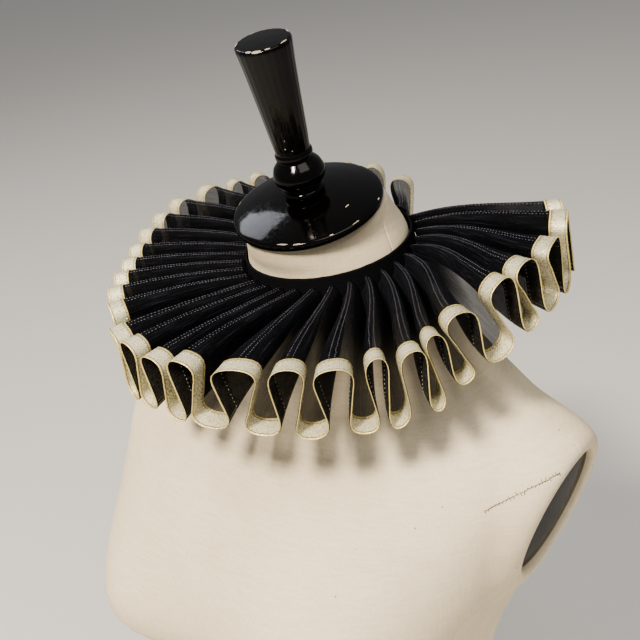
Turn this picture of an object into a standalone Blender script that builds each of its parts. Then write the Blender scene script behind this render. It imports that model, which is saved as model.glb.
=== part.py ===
"""Black organza ruff collar, worn by a limbless linen dress form.

One strip of organza is pleated round a neckband in deep, rounded loops, with a metallic ribbon
sewn on its upper face along the outer edge. The form carries the collar: a linen torso that is
closed and flat underneath, a lacquered neck cap with a turned finial, and two armhole plates.

Frame: metres, +Z up, the form faces -Y, its left is +X. The origin is the middle of the underside.
Azimuths run round the neck from the centre front (0) towards the form's left (+90).
"""
import math

import bmesh
import bpy
from mathutils import Matrix, Vector

MM = 0.001
SEAM_GAP = 0.3 * MM            # clearance between pieces that touch
CLOTH_WALL = 1.0 * MM          # thickness of every cloth wall

# ---- the neckband and the plane it lies in
BAND_HEIGHT_ON_FORM = 0.652    # band centre above the underside
RUFF_PITCH = math.radians(5.0)     # the collar dips towards the front
RUFF_ROLL = math.radians(3.2)      # and sits a little higher on the form's left
BAND_TOP_RADIUS = 58.4 * MM    # middle of the band wall, upper edge
BAND_BOTTOM_RADIUS = 60.6 * MM
BAND_WIDTH = 16.0 * MM
BAND_SEGMENTS = 72
OPENING = math.radians(159.0)      # azimuth where the band's ends meet
OPENING_GAP = math.radians(2.4)

# ---- the pleated strip
PLEAT_TOP_AT_BAND = -6.0 * MM      # crest height at the band, from the band's upper edge
PLEAT_TOP_AT_EDGE = 3.4 * MM       # crest height at the outer edge
PLEAT_HEIGHT_AT_BAND = 9.5 * MM   # crest to trough at the band
PLEAT_GROWTH = 0.85                # how fast the loops deepen away from the band
EDGE_FORWARD = 5.0 * MM            # the outer edge is set forward of the band's centre
EDGE_RADIUS = 152.0 * MM           # outer edge at a crest
TROUGH_REACH = 2.0 * MM            # how much further out the troughs stand
LOOP_BULGE = 0.24                  # roundness of the loops, of one fold's spacing,
ROUND_SPACING = math.radians(11.0)  # for folds that are at least this far apart
TIGHT_SHARE = 0.7                  # share of that roundness that the tightest folds keep
LOOP_SQUARENESS = 0.75             # under 1, the crests and troughs are broader
STEPS_PER_WALL = 6                 # mesh columns from a crest to the next trough
RIBBON_WIDTH = 10.0 * MM
RIBBON_PROUD = 0.6 * MM            # ribbon past the organza's cut edge
RIBBON_INNER = 1.0 - RIBBON_WIDTH / (EDGE_RADIUS - BAND_TOP_RADIUS)
ROWS_OUT = (0.0, 0.42, RIBBON_INNER, 1.0)   # mesh rows, 0 at the band and 1 at the edge

# One row for each fold, from the back round the form's right side and the front to its left.
# The strip's ends spread apart at the back, in a V that runs in to the band's opening.
FOLD_COLUMNS = ("crest_deg", "trough_deg", "height_mm", "reach_mm", "rise_mm")
FOLD_ROWS = (
    (-166.0, -161.0, 46, -6, -20),
    (-157.0, -152.0, 48, -4, -9),
    (-148.0, -144.0, 47, -2, -6),
    (-139.5, -134.0, 49, 0, -2),
    (-129.0, -124.0, 48, 0, 0),
    (-119.0, -115.5, 47, 0, 2),
    (-111.5, -107.5, 48, 2, 3),
    (-103.0, -97.5, 50, 5, 6),
    (-92.0, -88.5, 49, 7, 6),
    (-84.0, -80.0, 48, 5, 4),
    (-75.5, -71.0, 47, 2, 2),
    (-67.0, -63.0, 46, -1, 0),
    (-59.0, -54.5, 47, -3, -1),
    (-50.0, -45.0, 48, -3, 0),
    (-40.5, -35.5, 47, -1, 1),
    (-30.5, -25.0, 46, 0, 2),
    (-20.0, -15.5, 45, 7, -2),
    (-9.5, -6.0, 43, 9, 2),
    (-0.5, 4.0, 41, 10, 0),
    (7.5, 12.0, 44, 10, 3),
    (21.0, 24.5, 44, 9, 0),
    (31.5, 34.0, 47, 8, -2),
    (40.5, 45.5, 45, 8, -6),
    (49.5, 51.5, 48, 8, -5),
    (57.0, 60.5, 43, 9, -7),
    (62.0, 68.0, 39, 4, -5),
    (68.0, 78.0, 43, 5, 2),
    (81.0, 88.5, 45, 6, 8),
    (88.5, 100.0, 48, 6, 8),
    (102.0, 110.0, 46, 9, 3),
    (116.5, 121.0, 49, 12, 3),
    (124.5, 129.0, 47, 9, 1),
)
STRIP_START_DEG = -171.0       # the strip's first end, a trough like its last

# ---- the closure at the back
CLOSURE_HEIGHT = 4.2 * MM
CLOSURE_PLATE = 0.8 * MM
CLOSURE_ARM = math.radians(5.5)    # reach of each plate round the band
CLOSURE_DROP = 0.4 * MM            # plates start this far below the band's upper edge

# ---- the dress form's sections, heights from the band's centre
FORM_COLUMNS = ("height_mm", "half_width_mm", "front_mm", "back_mm", "pitch_deg", "squareness")
FORM_ROWS = (
    (29.6, 47.5, 63.0, 33.0, 12.0, 2.0),     # under the neck cap
    (15.0, 51.0, 60.5, 44.5, 8.5, 2.0),
    (0.0, 56.0, 56.6, 56.0, 5.0, 2.0),       # band, upper edge
    (-13.0, 56.9, 57.3, 57.0, 5.0, 2.0),
    (-21.0, 58.2, 58.5, 58.2, 5.0, 2.0),     # band, lower edge
    (-30.0, 66.5, 63.0, 62.5, 4.0, 2.0),     # neck base
    (-41.0, 84.0, 69.5, 66.0, 2.5, 2.0),
    (-60.0, 106.0, 79.0, 69.0, 1.0, 2.0),
    (-76.0, 128.0, 87.0, 71.0, 0.0, 2.05),
    (-89.0, 148.0, 93.5, 72.0, 0.0, 2.1),
    (-101.0, 165.0, 100.0, 75.0, 0.0, 2.1),   # shoulder
    (-113.0, 178.5, 107.0, 80.5, 0.0, 2.15),
    (-129.0, 184.0, 121.0, 87.5, 0.0, 2.2),
    (-149.0, 180.5, 140.0, 94.0, 0.0, 2.25),
    (-178.0, 172.5, 159.0, 97.0, 0.0, 2.3),
    (-207.0, 163.5, 169.0, 93.5, 0.0, 2.35),
    (-235.0, 153.0, 172.0, 86.0, 0.0, 2.3),  # underarm
    (-265.0, 143.0, 164.0, 78.0, 0.0, 2.25),
    (-300.0, 131.0, 141.0, 71.0, 0.0, 2.15),
    (-350.0, 120.5, 116.0, 68.0, 0.0, 2.1),
    (-395.0, 117.5, 105.0, 69.0, 0.0, 2.1),  # waist
    (-440.0, 126.0, 106.5, 77.0, 0.0, 2.15),
    (-490.0, 145.0, 113.0, 95.0, 0.0, 2.2),
    (-545.0, 162.5, 118.5, 109.5, 0.0, 2.25),
    (-600.0, 171.5, 119.5, 116.0, 0.0, 2.25),  # hip
    (-652.0, 171.0, 116.5, 115.0, 0.0, 2.25),  # underside
)
FORM_SEGMENTS = 60
BUST_SIDE = 95.0 * MM          # bust mounds: distance from the centre,
BUST_BELOW_BAND = 250.0 * MM   # depth below the band,
BUST_SWELL = 42.0 * MM         # height over the chest
BUST_SPREAD = 62.0 * MM        # and spread

# ---- armhole plates
PLATE_CENTRE = Vector((0.1745, 0.0020, -0.165))   # of the left plate, from the band's centre
PLATE_TILT = math.radians(14.0)    # faces a little downwards
PLATE_HALF_HEIGHT = 50.0 * MM
PLATE_HALF_WIDTH = 43.0 * MM
PLATE_THICK = 3.0 * MM
PLATE_SEGMENTS = 36
RIM_PROUD = 4.5 * MM           # the linen rim stands this far out from the plate's face,
RIM_REACH = 1.06               # is full out to this many plate radii,
RIM_BLEND = 0.55               # and runs into the chest over this many more
CUTTER_REACH = 40.0 * MM

# ---- neck cap and finial, both square to the leaning neck
CAP_CENTRE = Vector((0.0, -0.0170, 0.0331))       # middle of the cap's upper rim
CAP_PITCH = math.radians(12.0)
CAP_PROFILE = ((0.0, -6.6), (47.0, -6.6), (50.2, -5.8), (51.6, -3.2), (51.0, -0.4),
               (47.5, 0.9), (38.0, 3.4), (24.0, 5.9), (10.0, 7.2), (0.0, 7.4))   # radius, height mm
FINIAL_PROFILE = ((0.0, 7.8), (12.5, 7.4), (14.2, 9.0), (14.0, 12.0), (11.2, 13.6),
                  (14.6, 15.6), (17.2, 19.6), (17.5, 23.4), (15.8, 28.4), (12.2, 32.2),
                  (10.8, 33.6), (12.6, 35.6), (12.4, 38.2), (11.4, 39.6), (12.2, 48.0),
                  (14.0, 72.0), (16.0, 96.0), (17.6, 110.2), (17.3, 112.2), (16.4, 112.8),
                  (0.0, 112.8))
TURNED_STEPS = 32


def material(name, rgb, roughness, metallic=0.0):
    """A Principled material in the part's own colour."""
    made = bpy.data.materials.new(name)
    made.use_nodes = True
    shader = made.node_tree.nodes["Principled BSDF"]
    shader.inputs["Base Color"].default_value = (*rgb, 1.0)
    shader.inputs["Roughness"].default_value = roughness
    shader.inputs["Metallic"].default_value = metallic
    return made


def finish(name, bm, look, smooth_below=math.radians(40)):
    """Turn a bmesh into a named object with outward faces and its own material."""
    bm.normal_update()
    bmesh.ops.recalc_face_normals(bm, faces=bm.faces)
    mesh = bpy.data.meshes.new(name)
    bm.to_mesh(mesh)
    bm.free()
    mesh.shade_smooth()
    mesh.set_sharp_from_angle(angle=smooth_below)
    mesh.materials.append(look)
    made = bpy.data.objects.new(name, mesh)
    bpy.context.collection.objects.link(made)
    return made


def collar_frame():
    """Matrix of the collar's plane: origin at the band's centre, local Z square to the plane."""
    tilt = Matrix.Rotation(RUFF_PITCH, 4, "X") @ Matrix.Rotation(-RUFF_ROLL, 4, "Y")
    return Matrix.Translation((0.0, 0.0, BAND_HEIGHT_ON_FORM)) @ tilt


def polar(azimuth, radius, height, forward=0.0):
    """A point of the collar's plane from azimuth, radius and height, the centre moved forward."""
    return Vector((radius * math.sin(azimuth), -radius * math.cos(azimuth) - forward, height))


def band_radius(height):
    """Middle of the band's wall at a height from its upper edge: the band flares downwards."""
    return BAND_TOP_RADIUS + (BAND_BOTTOM_RADIUS - BAND_TOP_RADIUS) * -height / BAND_WIDTH


class Folds:
    """The strip's folds as knots, a crest and a trough in turn, and the surface through them."""

    def __init__(self):
        rows = [dict(zip(FOLD_COLUMNS, row)) for row in FOLD_ROWS]
        first = rows[0]
        self.knots = [(math.radians(STRIP_START_DEG), -1.0, first["height_mm"] * MM,
                       first["reach_mm"] * MM, first["rise_mm"] * MM)]
        for row in rows:
            shared = (row["height_mm"] * MM, row["reach_mm"] * MM, row["rise_mm"] * MM)
            self.knots.append((math.radians(row["crest_deg"]), 1.0, *shared))
            self.knots.append((math.radians(row["trough_deg"]), -1.0, *shared))
        self.walls = len(self.knots) - 1
        self.columns = self.walls * STEPS_PER_WALL + 1
        self.first = OPENING - 2 * math.pi + OPENING_GAP / 2
        self.last = OPENING - OPENING_GAP / 2

    def edge(self, column):
        """Azimuth, swing (+1 crest, -1 trough), height, reach and rise at the outer edge."""
        wall = min(column // STEPS_PER_WALL, self.walls - 1)
        along = column / STEPS_PER_WALL - wall
        start, end = self.knots[wall], self.knots[wall + 1]
        spacing = self.spacing(wall)
        azimuth = start[0] + (end[0] - start[0]) * along
        bulge = LOOP_BULGE * min(max(spacing / ROUND_SPACING, TIGHT_SHARE), 1.0)
        azimuth += bulge * spacing * math.sin(2 * math.pi * along)
        cosine = math.cos(math.pi * along)
        swing = start[1] * math.copysign(abs(cosine) ** LOOP_SQUARENESS, cosine)
        height, reach, rise = (a + (b - a) * along for a, b in zip(start[2:], end[2:]))
        return azimuth, swing, height, reach, rise

    def spacing(self, wall):
        """Azimuth from one crest to the next, near a wall."""
        low, high = max(wall - 1, 0), min(wall + 2, self.walls)
        return (self.knots[high][0] - self.knots[low][0]) * 2 / (high - low)

    def point(self, column, out):
        """Middle of the cloth in the collar's plane: out is 0 at the band, 1 at the edge."""
        azimuth, swing, height, reach, rise = self.edge(column)
        even = self.first + (self.last - self.first) * column / (self.columns - 1)
        azimuth = even + (azimuth - even) * math.sin(out * math.pi / 2)
        deep = PLEAT_HEIGHT_AT_BAND + (height - PLEAT_HEIGHT_AT_BAND) * out ** PLEAT_GROWTH
        swell = 1.0 - (1.0 - out) ** 2
        top = PLEAT_TOP_AT_BAND + (PLEAT_TOP_AT_EDGE + rise - PLEAT_TOP_AT_BAND) * swell
        inner = band_radius(PLEAT_TOP_AT_BAND - PLEAT_HEIGHT_AT_BAND * (1.0 - swing) / 2)
        inner += CLOTH_WALL / 2 + 2 * SEAM_GAP
        outer = EDGE_RADIUS + reach + TROUGH_REACH * (1.0 - swing) / 2
        return polar(azimuth, inner + (outer - inner) * out, top - deep * (1.0 - swing) / 2,
                     EDGE_FORWARD * out)

    def normal(self, column, out):
        """Unit normal of the cloth, on its upper face."""
        left, right = max(column - 1, 0), min(column + 1, self.columns - 1)
        near, far = max(out - 0.05, 0.0), min(out + 0.05, 1.0)
        across = self.point(right, out) - self.point(left, out)
        outward = self.point(column, far) - self.point(column, near)
        return outward.cross(across).normalized()


def sheet_solid(bm, rows, columns, middle, normal, wall):
    """A closed wall round a grid of middle points, half its thickness to either side."""
    faces = {}
    for side in (1, -1):
        faces[side] = [[bm.verts.new(middle(c, r) + normal(c, r) * (side * wall / 2))
                        for c in range(columns)] for r in range(rows)]
    for side in (1, -1):
        grid = faces[side]
        for r in range(rows - 1):
            for c in range(columns - 1):
                bm.faces.new((grid[r][c], grid[r][c + 1], grid[r + 1][c + 1], grid[r + 1][c]))
    upper, lower = faces[1], faces[-1]
    for r in (0, rows - 1):
        for c in range(columns - 1):
            bm.faces.new((upper[r][c], upper[r][c + 1], lower[r][c + 1], lower[r][c]))
    for c in (0, columns - 1):
        for r in range(rows - 1):
            bm.faces.new((upper[r][c], upper[r + 1][c], lower[r + 1][c], lower[r][c]))


def build_ruffle(folds, frame, look):
    """The pleated organza strip, open at the back."""
    bm = bmesh.new()
    sheet_solid(bm, len(ROWS_OUT), folds.columns,
                lambda c, r: folds.point(c, ROWS_OUT[r]),
                lambda c, r: folds.normal(c, ROWS_OUT[r]), CLOTH_WALL)
    bm.transform(frame)
    return finish("ruffle", bm, look)


def build_ribbon(folds, frame, look):
    """The edge ribbon: the ruffle's own points by the outer edge, moved out from its upper face."""
    proud = RIBBON_PROUD / (EDGE_RADIUS - BAND_TOP_RADIUS)
    outs = (RIBBON_INNER, 1.0)

    def middle(c, r):
        edge = folds.point(c, outs[r]) + folds.normal(c, outs[r]) * (CLOTH_WALL + SEAM_GAP)
        return edge + (folds.point(c, 1.0 + proud) - folds.point(c, 1.0)) * r

    bm = bmesh.new()
    sheet_solid(bm, 2, folds.columns, middle, lambda c, r: folds.normal(c, outs[r]), CLOTH_WALL)
    bm.transform(frame)
    return finish("edge_ribbon", bm, look)


def build_band(frame, look):
    """The neckband: a band of cloth round the neck, open at the back."""
    span = 2 * math.pi - OPENING_GAP

    def azimuth(c):
        return OPENING + OPENING_GAP / 2 + span * c / BAND_SEGMENTS

    def middle(c, r):
        return polar(azimuth(c), BAND_BOTTOM_RADIUS if r else BAND_TOP_RADIUS, -BAND_WIDTH * r)

    def normal(c, r):
        return polar(azimuth(c), 1.0, 0.0)

    bm = bmesh.new()
    sheet_solid(bm, 2, BAND_SEGMENTS + 1, middle, normal, CLOTH_WALL)
    bm.transform(frame)
    return finish("neckband", bm, look)


def arc_plate(bm, start, end, inner_radius, thick, height):
    """A small curved plate on the band, between two azimuths."""
    steps = 4
    sheet_solid(bm, 2, steps + 1,
                lambda c, r: polar(start + (end - start) * c / steps, inner_radius + thick / 2,
                                   -CLOSURE_DROP - height * r),
                lambda c, r: polar(start + (end - start) * c / steps, 1.0, 0.0), thick)


def build_closure(frame, look):
    """Bar and hook on the band's ends: the hook's tongue laps over the bar's plate."""
    on_band = BAND_TOP_RADIUS + CLOTH_WALL / 2 + SEAM_GAP + 1.0 * MM
    bar = bmesh.new()
    gap = OPENING_GAP / 2
    arc_plate(bar, OPENING + gap, OPENING + gap + CLOSURE_ARM, on_band, CLOSURE_PLATE,
              CLOSURE_HEIGHT)
    bar.transform(frame)
    hook = bmesh.new()
    arc_plate(hook, OPENING - gap - CLOSURE_ARM, OPENING + gap + CLOSURE_ARM * 0.6,
              on_band + CLOSURE_PLATE + SEAM_GAP, CLOSURE_PLATE, CLOSURE_HEIGHT)
    hook.transform(frame)
    return [finish("closure_bar", bar, look), finish("closure_hook", hook, look)]


def form_point(row, turn):
    """A point of the form's skin, turn running round from the front towards +X."""
    size = dict(zip(FORM_COLUMNS, row))
    power = 2.0 / size["squareness"]
    side, ahead = math.sin(turn), math.cos(turn)
    x = size["half_width_mm"] * MM * math.copysign(abs(side) ** power, side)
    depth = size["front_mm"] if ahead > 0 else size["back_mm"]
    y = -depth * MM * math.copysign(abs(ahead) ** power, ahead)
    z = size["height_mm"] * MM
    if ahead > 0:
        for centre in (-BUST_SIDE, BUST_SIDE):
            far = ((x - centre) / BUST_SPREAD) ** 2 + ((z + BUST_BELOW_BAND) / BUST_SPREAD) ** 2
            y -= BUST_SWELL * math.exp(-far) * min(1.0, 2.5 * ahead)
    z += y * math.tan(math.radians(size["pitch_deg"]))
    rise = z - PLATE_CENTRE.z
    rim = PLATE_CENTRE.x + rise * math.tan(PLATE_TILT) + RIM_PROUD
    far = math.hypot((y - PLATE_CENTRE.y) / PLATE_HALF_WIDTH, rise / PLATE_HALF_HEIGHT)
    near = min(max((RIM_REACH + RIM_BLEND - far) / RIM_BLEND, 0.0), 1.0)
    if abs(x) > PLATE_CENTRE.x * 0.6:
        near = near * near * (3.0 - 2.0 * near)
        x = math.copysign(abs(x) + (rim - abs(x)) * near, x)
    return Vector((x, y, z + BAND_HEIGHT_ON_FORM))


def plate_frame(side):
    """Matrix of an armhole plate: local Z points outwards and a little down."""
    centre = Vector((side * PLATE_CENTRE.x, PLATE_CENTRE.y, PLATE_CENTRE.z + BAND_HEIGHT_ON_FORM))
    turn = Matrix.Rotation(side * (math.pi / 2 + PLATE_TILT), 4, "Y")
    return Matrix.Translation(centre) @ turn


def oval(bm, half_height, half_width, low, high):
    """An upright oval cylinder about local Z, its height along local X."""
    made = bmesh.ops.create_cone(bm, cap_ends=True, segments=PLATE_SEGMENTS, radius1=1.0,
                                 radius2=1.0, depth=high - low)
    bmesh.ops.scale(bm, vec=(half_height, half_width, 1.0), verts=made["verts"])
    bmesh.ops.translate(bm, vec=(0.0, 0.0, (high + low) / 2), verts=made["verts"])


def build_form(look):
    """The torso: one closed skin, flat underneath, with a recess for each armhole plate."""
    bm = bmesh.new()
    rings = [[bm.verts.new(form_point(row, 2 * math.pi * k / FORM_SEGMENTS))
              for k in range(FORM_SEGMENTS)] for row in FORM_ROWS]
    for upper, lower in zip(rings, rings[1:]):
        for k in range(FORM_SEGMENTS):
            n = (k + 1) % FORM_SEGMENTS
            bm.faces.new((upper[k], upper[n], lower[n], lower[k]))
    bm.faces.new(rings[0])
    bm.faces.new(rings[-1])
    form = finish("dress_form", bm, look, math.radians(50))
    for side, label in ((1, "left"), (-1, "right")):
        cut = bmesh.new()
        oval(cut, PLATE_HALF_HEIGHT + SEAM_GAP, PLATE_HALF_WIDTH + SEAM_GAP,
             -PLATE_THICK - SEAM_GAP, CUTTER_REACH)
        cut.transform(plate_frame(side))
        cutter = finish("armhole_cutter_" + label, cut, look)
        cutter.hide_render = True
        cutter.display_type = "WIRE"
        recess = form.modifiers.new("armhole_" + label, "BOOLEAN")
        recess.operation = "DIFFERENCE"
        recess.object = cutter
    return form


def build_plates(look):
    """A lacquered oval plate in each armhole recess."""
    made = []
    for side, label in ((1, "left"), (-1, "right")):
        bm = bmesh.new()
        oval(bm, PLATE_HALF_HEIGHT, PLATE_HALF_WIDTH, -PLATE_THICK, 0.0)
        bm.transform(plate_frame(side))
        made.append(finish("armhole_plate_" + label, bm, look))
    return made


def turned(name, profile, look):
    """A turned piece on the leaning axis of the neck, from radius and height rows in mm."""
    bm = bmesh.new()
    ring = [bm.verts.new((radius * MM, 0.0, height * MM)) for radius, height in profile]
    edges = [bm.edges.new(pair) for pair in zip(ring, ring[1:])]
    bmesh.ops.spin(bm, geom=ring + edges, cent=(0, 0, 0), axis=(0, 0, 1), angle=2 * math.pi,
                   steps=TURNED_STEPS, use_merge=True)
    bmesh.ops.remove_doubles(bm, verts=bm.verts, dist=0.01 * MM)
    lean = Matrix.Translation(CAP_CENTRE + Vector((0.0, 0.0, BAND_HEIGHT_ON_FORM)))
    bm.transform(lean @ Matrix.Rotation(CAP_PITCH, 4, "X"))
    return finish(name, bm, look, math.radians(35))


def main():
    """Build every piece of the collar and of the form."""
    for old in list(bpy.data.objects):
        bpy.data.objects.remove(old)
    organza = material("black_organza", (0.012, 0.013, 0.018), 0.55)
    ribbon = material("champagne_ribbon", (0.62, 0.56, 0.40), 0.35, 0.5)
    band = material("black_grosgrain", (0.010, 0.010, 0.012), 0.8)
    metal = material("black_enamel", (0.015, 0.015, 0.016), 0.35)
    linen = material("linen", (0.70, 0.60, 0.45), 0.9)
    lacquer = material("black_lacquer", (0.006, 0.006, 0.007), 0.08)
    frame = collar_frame()
    folds = Folds()
    build_ruffle(folds, frame, organza)
    build_ribbon(folds, frame, ribbon)
    build_band(frame, band)
    build_closure(frame, metal)
    build_form(linen)
    build_plates(lacquer)
    turned("neck_cap", CAP_PROFILE, lacquer)
    turned("finial", FINIAL_PROFILE, lacquer)


main()
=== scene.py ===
"""Looks of a black organza ruff collar on a limbless linen dress form.

The collar is one strip of organza, pleated round a grosgrain neckband in deep rounded loops, with
a metallic ribbon sewn on its upper face along the outer edge. The dress form is a linen torso with
a lacquered neck cap, a turned finial and an oval plate in each armhole.

Metres, +Z up. The form faces -Y and its left is +X. Azimuths run round the neck from the centre
front (0) towards the form's left (+90).
"""

import logging
import math
import random
from collections.abc import Callable, Iterable, Sequence
from dataclasses import dataclass, field
from enum import Enum

import bmesh
import bpy
from mathutils import Matrix, Vector, noise
from mathutils.bvhtree import BVHTree


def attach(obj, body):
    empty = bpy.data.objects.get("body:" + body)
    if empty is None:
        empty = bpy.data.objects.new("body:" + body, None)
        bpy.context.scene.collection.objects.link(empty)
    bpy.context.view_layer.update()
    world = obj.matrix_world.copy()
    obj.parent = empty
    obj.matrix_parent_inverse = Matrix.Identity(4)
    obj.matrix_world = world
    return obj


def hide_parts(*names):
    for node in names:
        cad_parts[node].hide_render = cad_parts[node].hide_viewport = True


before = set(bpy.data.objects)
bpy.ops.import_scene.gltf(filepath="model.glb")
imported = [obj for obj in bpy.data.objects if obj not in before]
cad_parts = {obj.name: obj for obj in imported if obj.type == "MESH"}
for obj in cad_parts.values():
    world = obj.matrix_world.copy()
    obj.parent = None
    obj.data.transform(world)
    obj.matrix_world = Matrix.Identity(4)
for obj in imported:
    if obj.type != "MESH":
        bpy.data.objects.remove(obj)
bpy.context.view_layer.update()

LOG = logging.getLogger("ruff_collar")
MM = 0.001
BAND_HEIGHT = 652.0 * MM                # the band's upper edge, above the form's underside
STRIP_RUN = 93.6 * MM                   # the strip's width that shows, from band to outer edge


class Slot(Enum):
    """The record's material slots."""

    ORGANZA = "organza"
    RIBBON = "ribbon"
    GROSGRAIN = "grosgrain"
    ENAMEL = "enamel"
    LINEN = "linen"
    LACQUER = "lacquer"


class Side(Enum):
    """The form's own sides, as the sign of X."""

    LEFT = 1
    RIGHT = -1


# ------------------------------------------------------------------ small tools


def linear(hex_colour: str) -> tuple[float, float, float, float]:
    """Turn an sRGB hex colour into the linear RGBA that a shader socket takes.

    Args:
        hex_colour: colour as "#rrggbb".

    Returns:
        Linear red, green, blue and an alpha of 1.
    """
    parts = [int(hex_colour[k:k + 2], 16) / 255 for k in (1, 3, 5)]
    red, green, blue = (p / 12.92 if p <= 0.04045 else ((p + 0.055) / 1.055) ** 2.4 for p in parts)
    return red, green, blue, 1.0


def feed(tree: bpy.types.NodeTree, node: bpy.types.Node, inputs: dict) -> None:
    """Set a node's inputs to values, or link them to the output sockets that feed them."""
    for name, source in inputs.items():
        if isinstance(source, bpy.types.NodeSocket):
            tree.links.new(source, node.inputs[name])
        else:
            node.inputs[name].default_value = source


def add_node(tree: bpy.types.NodeTree, kind: str, sockets: dict | None = None,
             **settings: object) -> bpy.types.Node:
    """Add a node with its settings, and set or link its inputs.

    Args:
        tree: the material's or the world's node tree.
        kind: the node's type, such as "ShaderNodeTexNoise".
        sockets: input name or number to a value, or to the output socket that feeds it.
        settings: the node's own properties.

    Returns:
        The new node.
    """
    node = tree.nodes.new(kind)
    for name, value in settings.items():
        setattr(node, name, value)
    feed(tree, node, sockets or {})
    return node


def new_material(name: str) -> tuple[bpy.types.Material, bpy.types.NodeTree]:
    """Start a material, and return it with its node tree."""
    made = bpy.data.materials.new(name)
    made.use_nodes = True
    return made, made.node_tree


def cloth_place(tree: bpy.types.NodeTree) -> bpy.types.NodeSocket:
    """The flat place on the cloth, in metres along and across."""
    return add_node(tree, "ShaderNodeUVMap", uv_map="cloth").outputs["UV"]


def solid_place(tree: bpy.types.NodeTree) -> bpy.types.NodeSocket:
    """The place in the piece's own space, in metres."""
    return add_node(tree, "ShaderNodeTexCoord").outputs["Object"]


def mottle(tree: bpy.types.NodeTree, place: bpy.types.NodeSocket, size: float = 1.0,
           detail: float = 2.0, roughness: float = 0.5, space: str = "3D"
           ) -> bpy.types.NodeSocket:
    """Make uneven blotches.

    Args:
        tree: the material's node tree.
        place: where they are looked up.
        size: of one blotch, in the units of the place.
        detail: how many finer layers lie on them.
        roughness: how strong the finer layers are.
        space: "2D" on flat cloth, "3D" in the piece's own space.

    Returns:
        Their value, about 0 to 1.
    """
    return add_node(tree, "ShaderNodeTexNoise", {
        "Vector": place, "Scale": 1 / size, "Detail": detail, "Roughness": roughness},
        noise_dimensions=space).outputs["Fac"]


def stretched(tree: bpy.types.NodeTree, place: bpy.types.NodeSocket,
              *sizes: float) -> bpy.types.NodeSocket:
    """The place counted in blotches of these sizes along X, Y and Z."""
    scale = [1 / size for size in sizes]
    return add_node(tree, "ShaderNodeMapping", {"Vector": place, "Scale": scale}).outputs[0]


def threads(tree: bpy.types.NodeTree, place: bpy.types.NodeSocket, spacing: float,
            distortion: float, detail: float = 2.0, detail_scale: float = 1.0,
            way: str = "X") -> bpy.types.NodeSocket:
    """Make even threads or ribs.

    Args:
        tree: the material's node tree.
        place: where they are looked up, in metres.
        spacing: from one to the next, in metres.
        distortion: how far they waver.
        detail: how many finer layers waver.
        detail_scale: how fine those layers are.
        way: the axis that they are counted along.

    Returns:
        Their height, 0 to 1.
    """
    return add_node(tree, "ShaderNodeTexWave", {
        "Vector": place, "Scale": 2 * math.pi / 20 / spacing, "Distortion": distortion,
        "Detail": detail, "Detail Scale": detail_scale}, bands_direction=way).outputs["Fac"]


def compute(tree: bpy.types.NodeTree, operation: str, *terms: object) -> bpy.types.NodeSocket:
    """Do one sum on values or sockets, and return its result."""
    return add_node(tree, "ShaderNodeMath", dict(enumerate(terms)), operation=operation).outputs[0]


def remap(tree: bpy.types.NodeTree, value: bpy.types.NodeSocket, source: tuple[float, float],
          target: tuple[float, float] = (0.0, 1.0)) -> bpy.types.NodeSocket:
    """Move a value from one range to another, held inside the second."""
    return add_node(tree, "ShaderNodeMapRange", {
        "Value": value, "From Min": source[0], "From Max": source[1],
        "To Min": target[0], "To Max": target[1]}).outputs["Result"]


def blend(tree: bpy.types.NodeTree, share: bpy.types.NodeSocket,
          *colours: str | bpy.types.NodeSocket) -> bpy.types.NodeSocket:
    """Mix two colours, each a hex colour or a socket, by a share from 0 to 1."""
    first, second = (linear(item) if isinstance(item, str) else item for item in colours)
    return add_node(tree, "ShaderNodeMix", {0: share, 6: first, 7: second},
                    data_type="RGBA").outputs[2]


def dress_shader(tree: bpy.types.NodeTree, inputs: dict,
                 height: bpy.types.NodeSocket | None = None, relief: float = 0.0,
                 strength: float = 1.0) -> None:
    """Set or link the Principled shader's inputs, and its relief.

    Args:
        tree: the material's node tree.
        inputs: input name to a value, or to the output socket that feeds it.
        height: what drives the relief, if it has one.
        relief: how deep it is, in metres.
        strength: how much of it counts.
    """
    shader = tree.nodes["Principled BSDF"]
    if height is not None:
        bump = add_node(tree, "ShaderNodeBump", {
            "Height": height, "Distance": relief, "Strength": strength})
        inputs = {**inputs, "Normal": bump.outputs["Normal"]}
    feed(tree, shader, inputs)


def smooth_step(low: float, high: float, value: float) -> float:
    """Blend smoothly from 0 at low to 1 at high; low may be above high."""
    share = min(max((value - low) / (high - low), 0.0), 1.0)
    return share * share * (3 - 2 * share)


def finish_piece(name: str, bm: bmesh.types.BMesh, look: bpy.types.Material, slot: Slot,
                 stands_for: Sequence[str] = (), smooth_below: float = math.radians(45),
                 outwards: bool = True) -> bpy.types.Object:
    """Turn a bmesh into a finished piece on the one body.

    Args:
        name: the piece's name.
        bm: its mesh, which is used up.
        look: its material.
        slot: the record's material slot, reported in the log.
        stands_for: the CAD nodes that it is shown in place of.
        smooth_below: edges that bend less than this are shaded smooth.
        outwards: whether its normals are worked out again, as on a closed shape.

    Returns:
        The piece.
    """
    if outwards:
        bm.normal_update()
        bmesh.ops.recalc_face_normals(bm, faces=bm.faces)
    mesh = bpy.data.meshes.new(name)
    bm.to_mesh(mesh)
    bm.free()
    mesh.shade_smooth()
    mesh.set_sharp_from_angle(angle=smooth_below)
    mesh.materials.append(look)
    piece = bpy.data.objects.new(name, mesh)
    bpy.context.scene.collection.objects.link(piece)
    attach(piece, "root")
    if stands_for:
        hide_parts(*stands_for)
    LOG.info("%s: %d faces, slot %s", name, len(mesh.polygons), slot.value)
    return piece


def thicken(piece: bpy.types.Object, wall: float) -> None:
    """Give a sheet its wall, half to either side.

    Args:
        piece: the sheet.
        wall: its thickness.
    """
    shell = piece.modifiers.new("cloth_wall", "SOLIDIFY")
    shell.thickness = wall
    shell.offset = 0.0
    shell.use_rim = True


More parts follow.
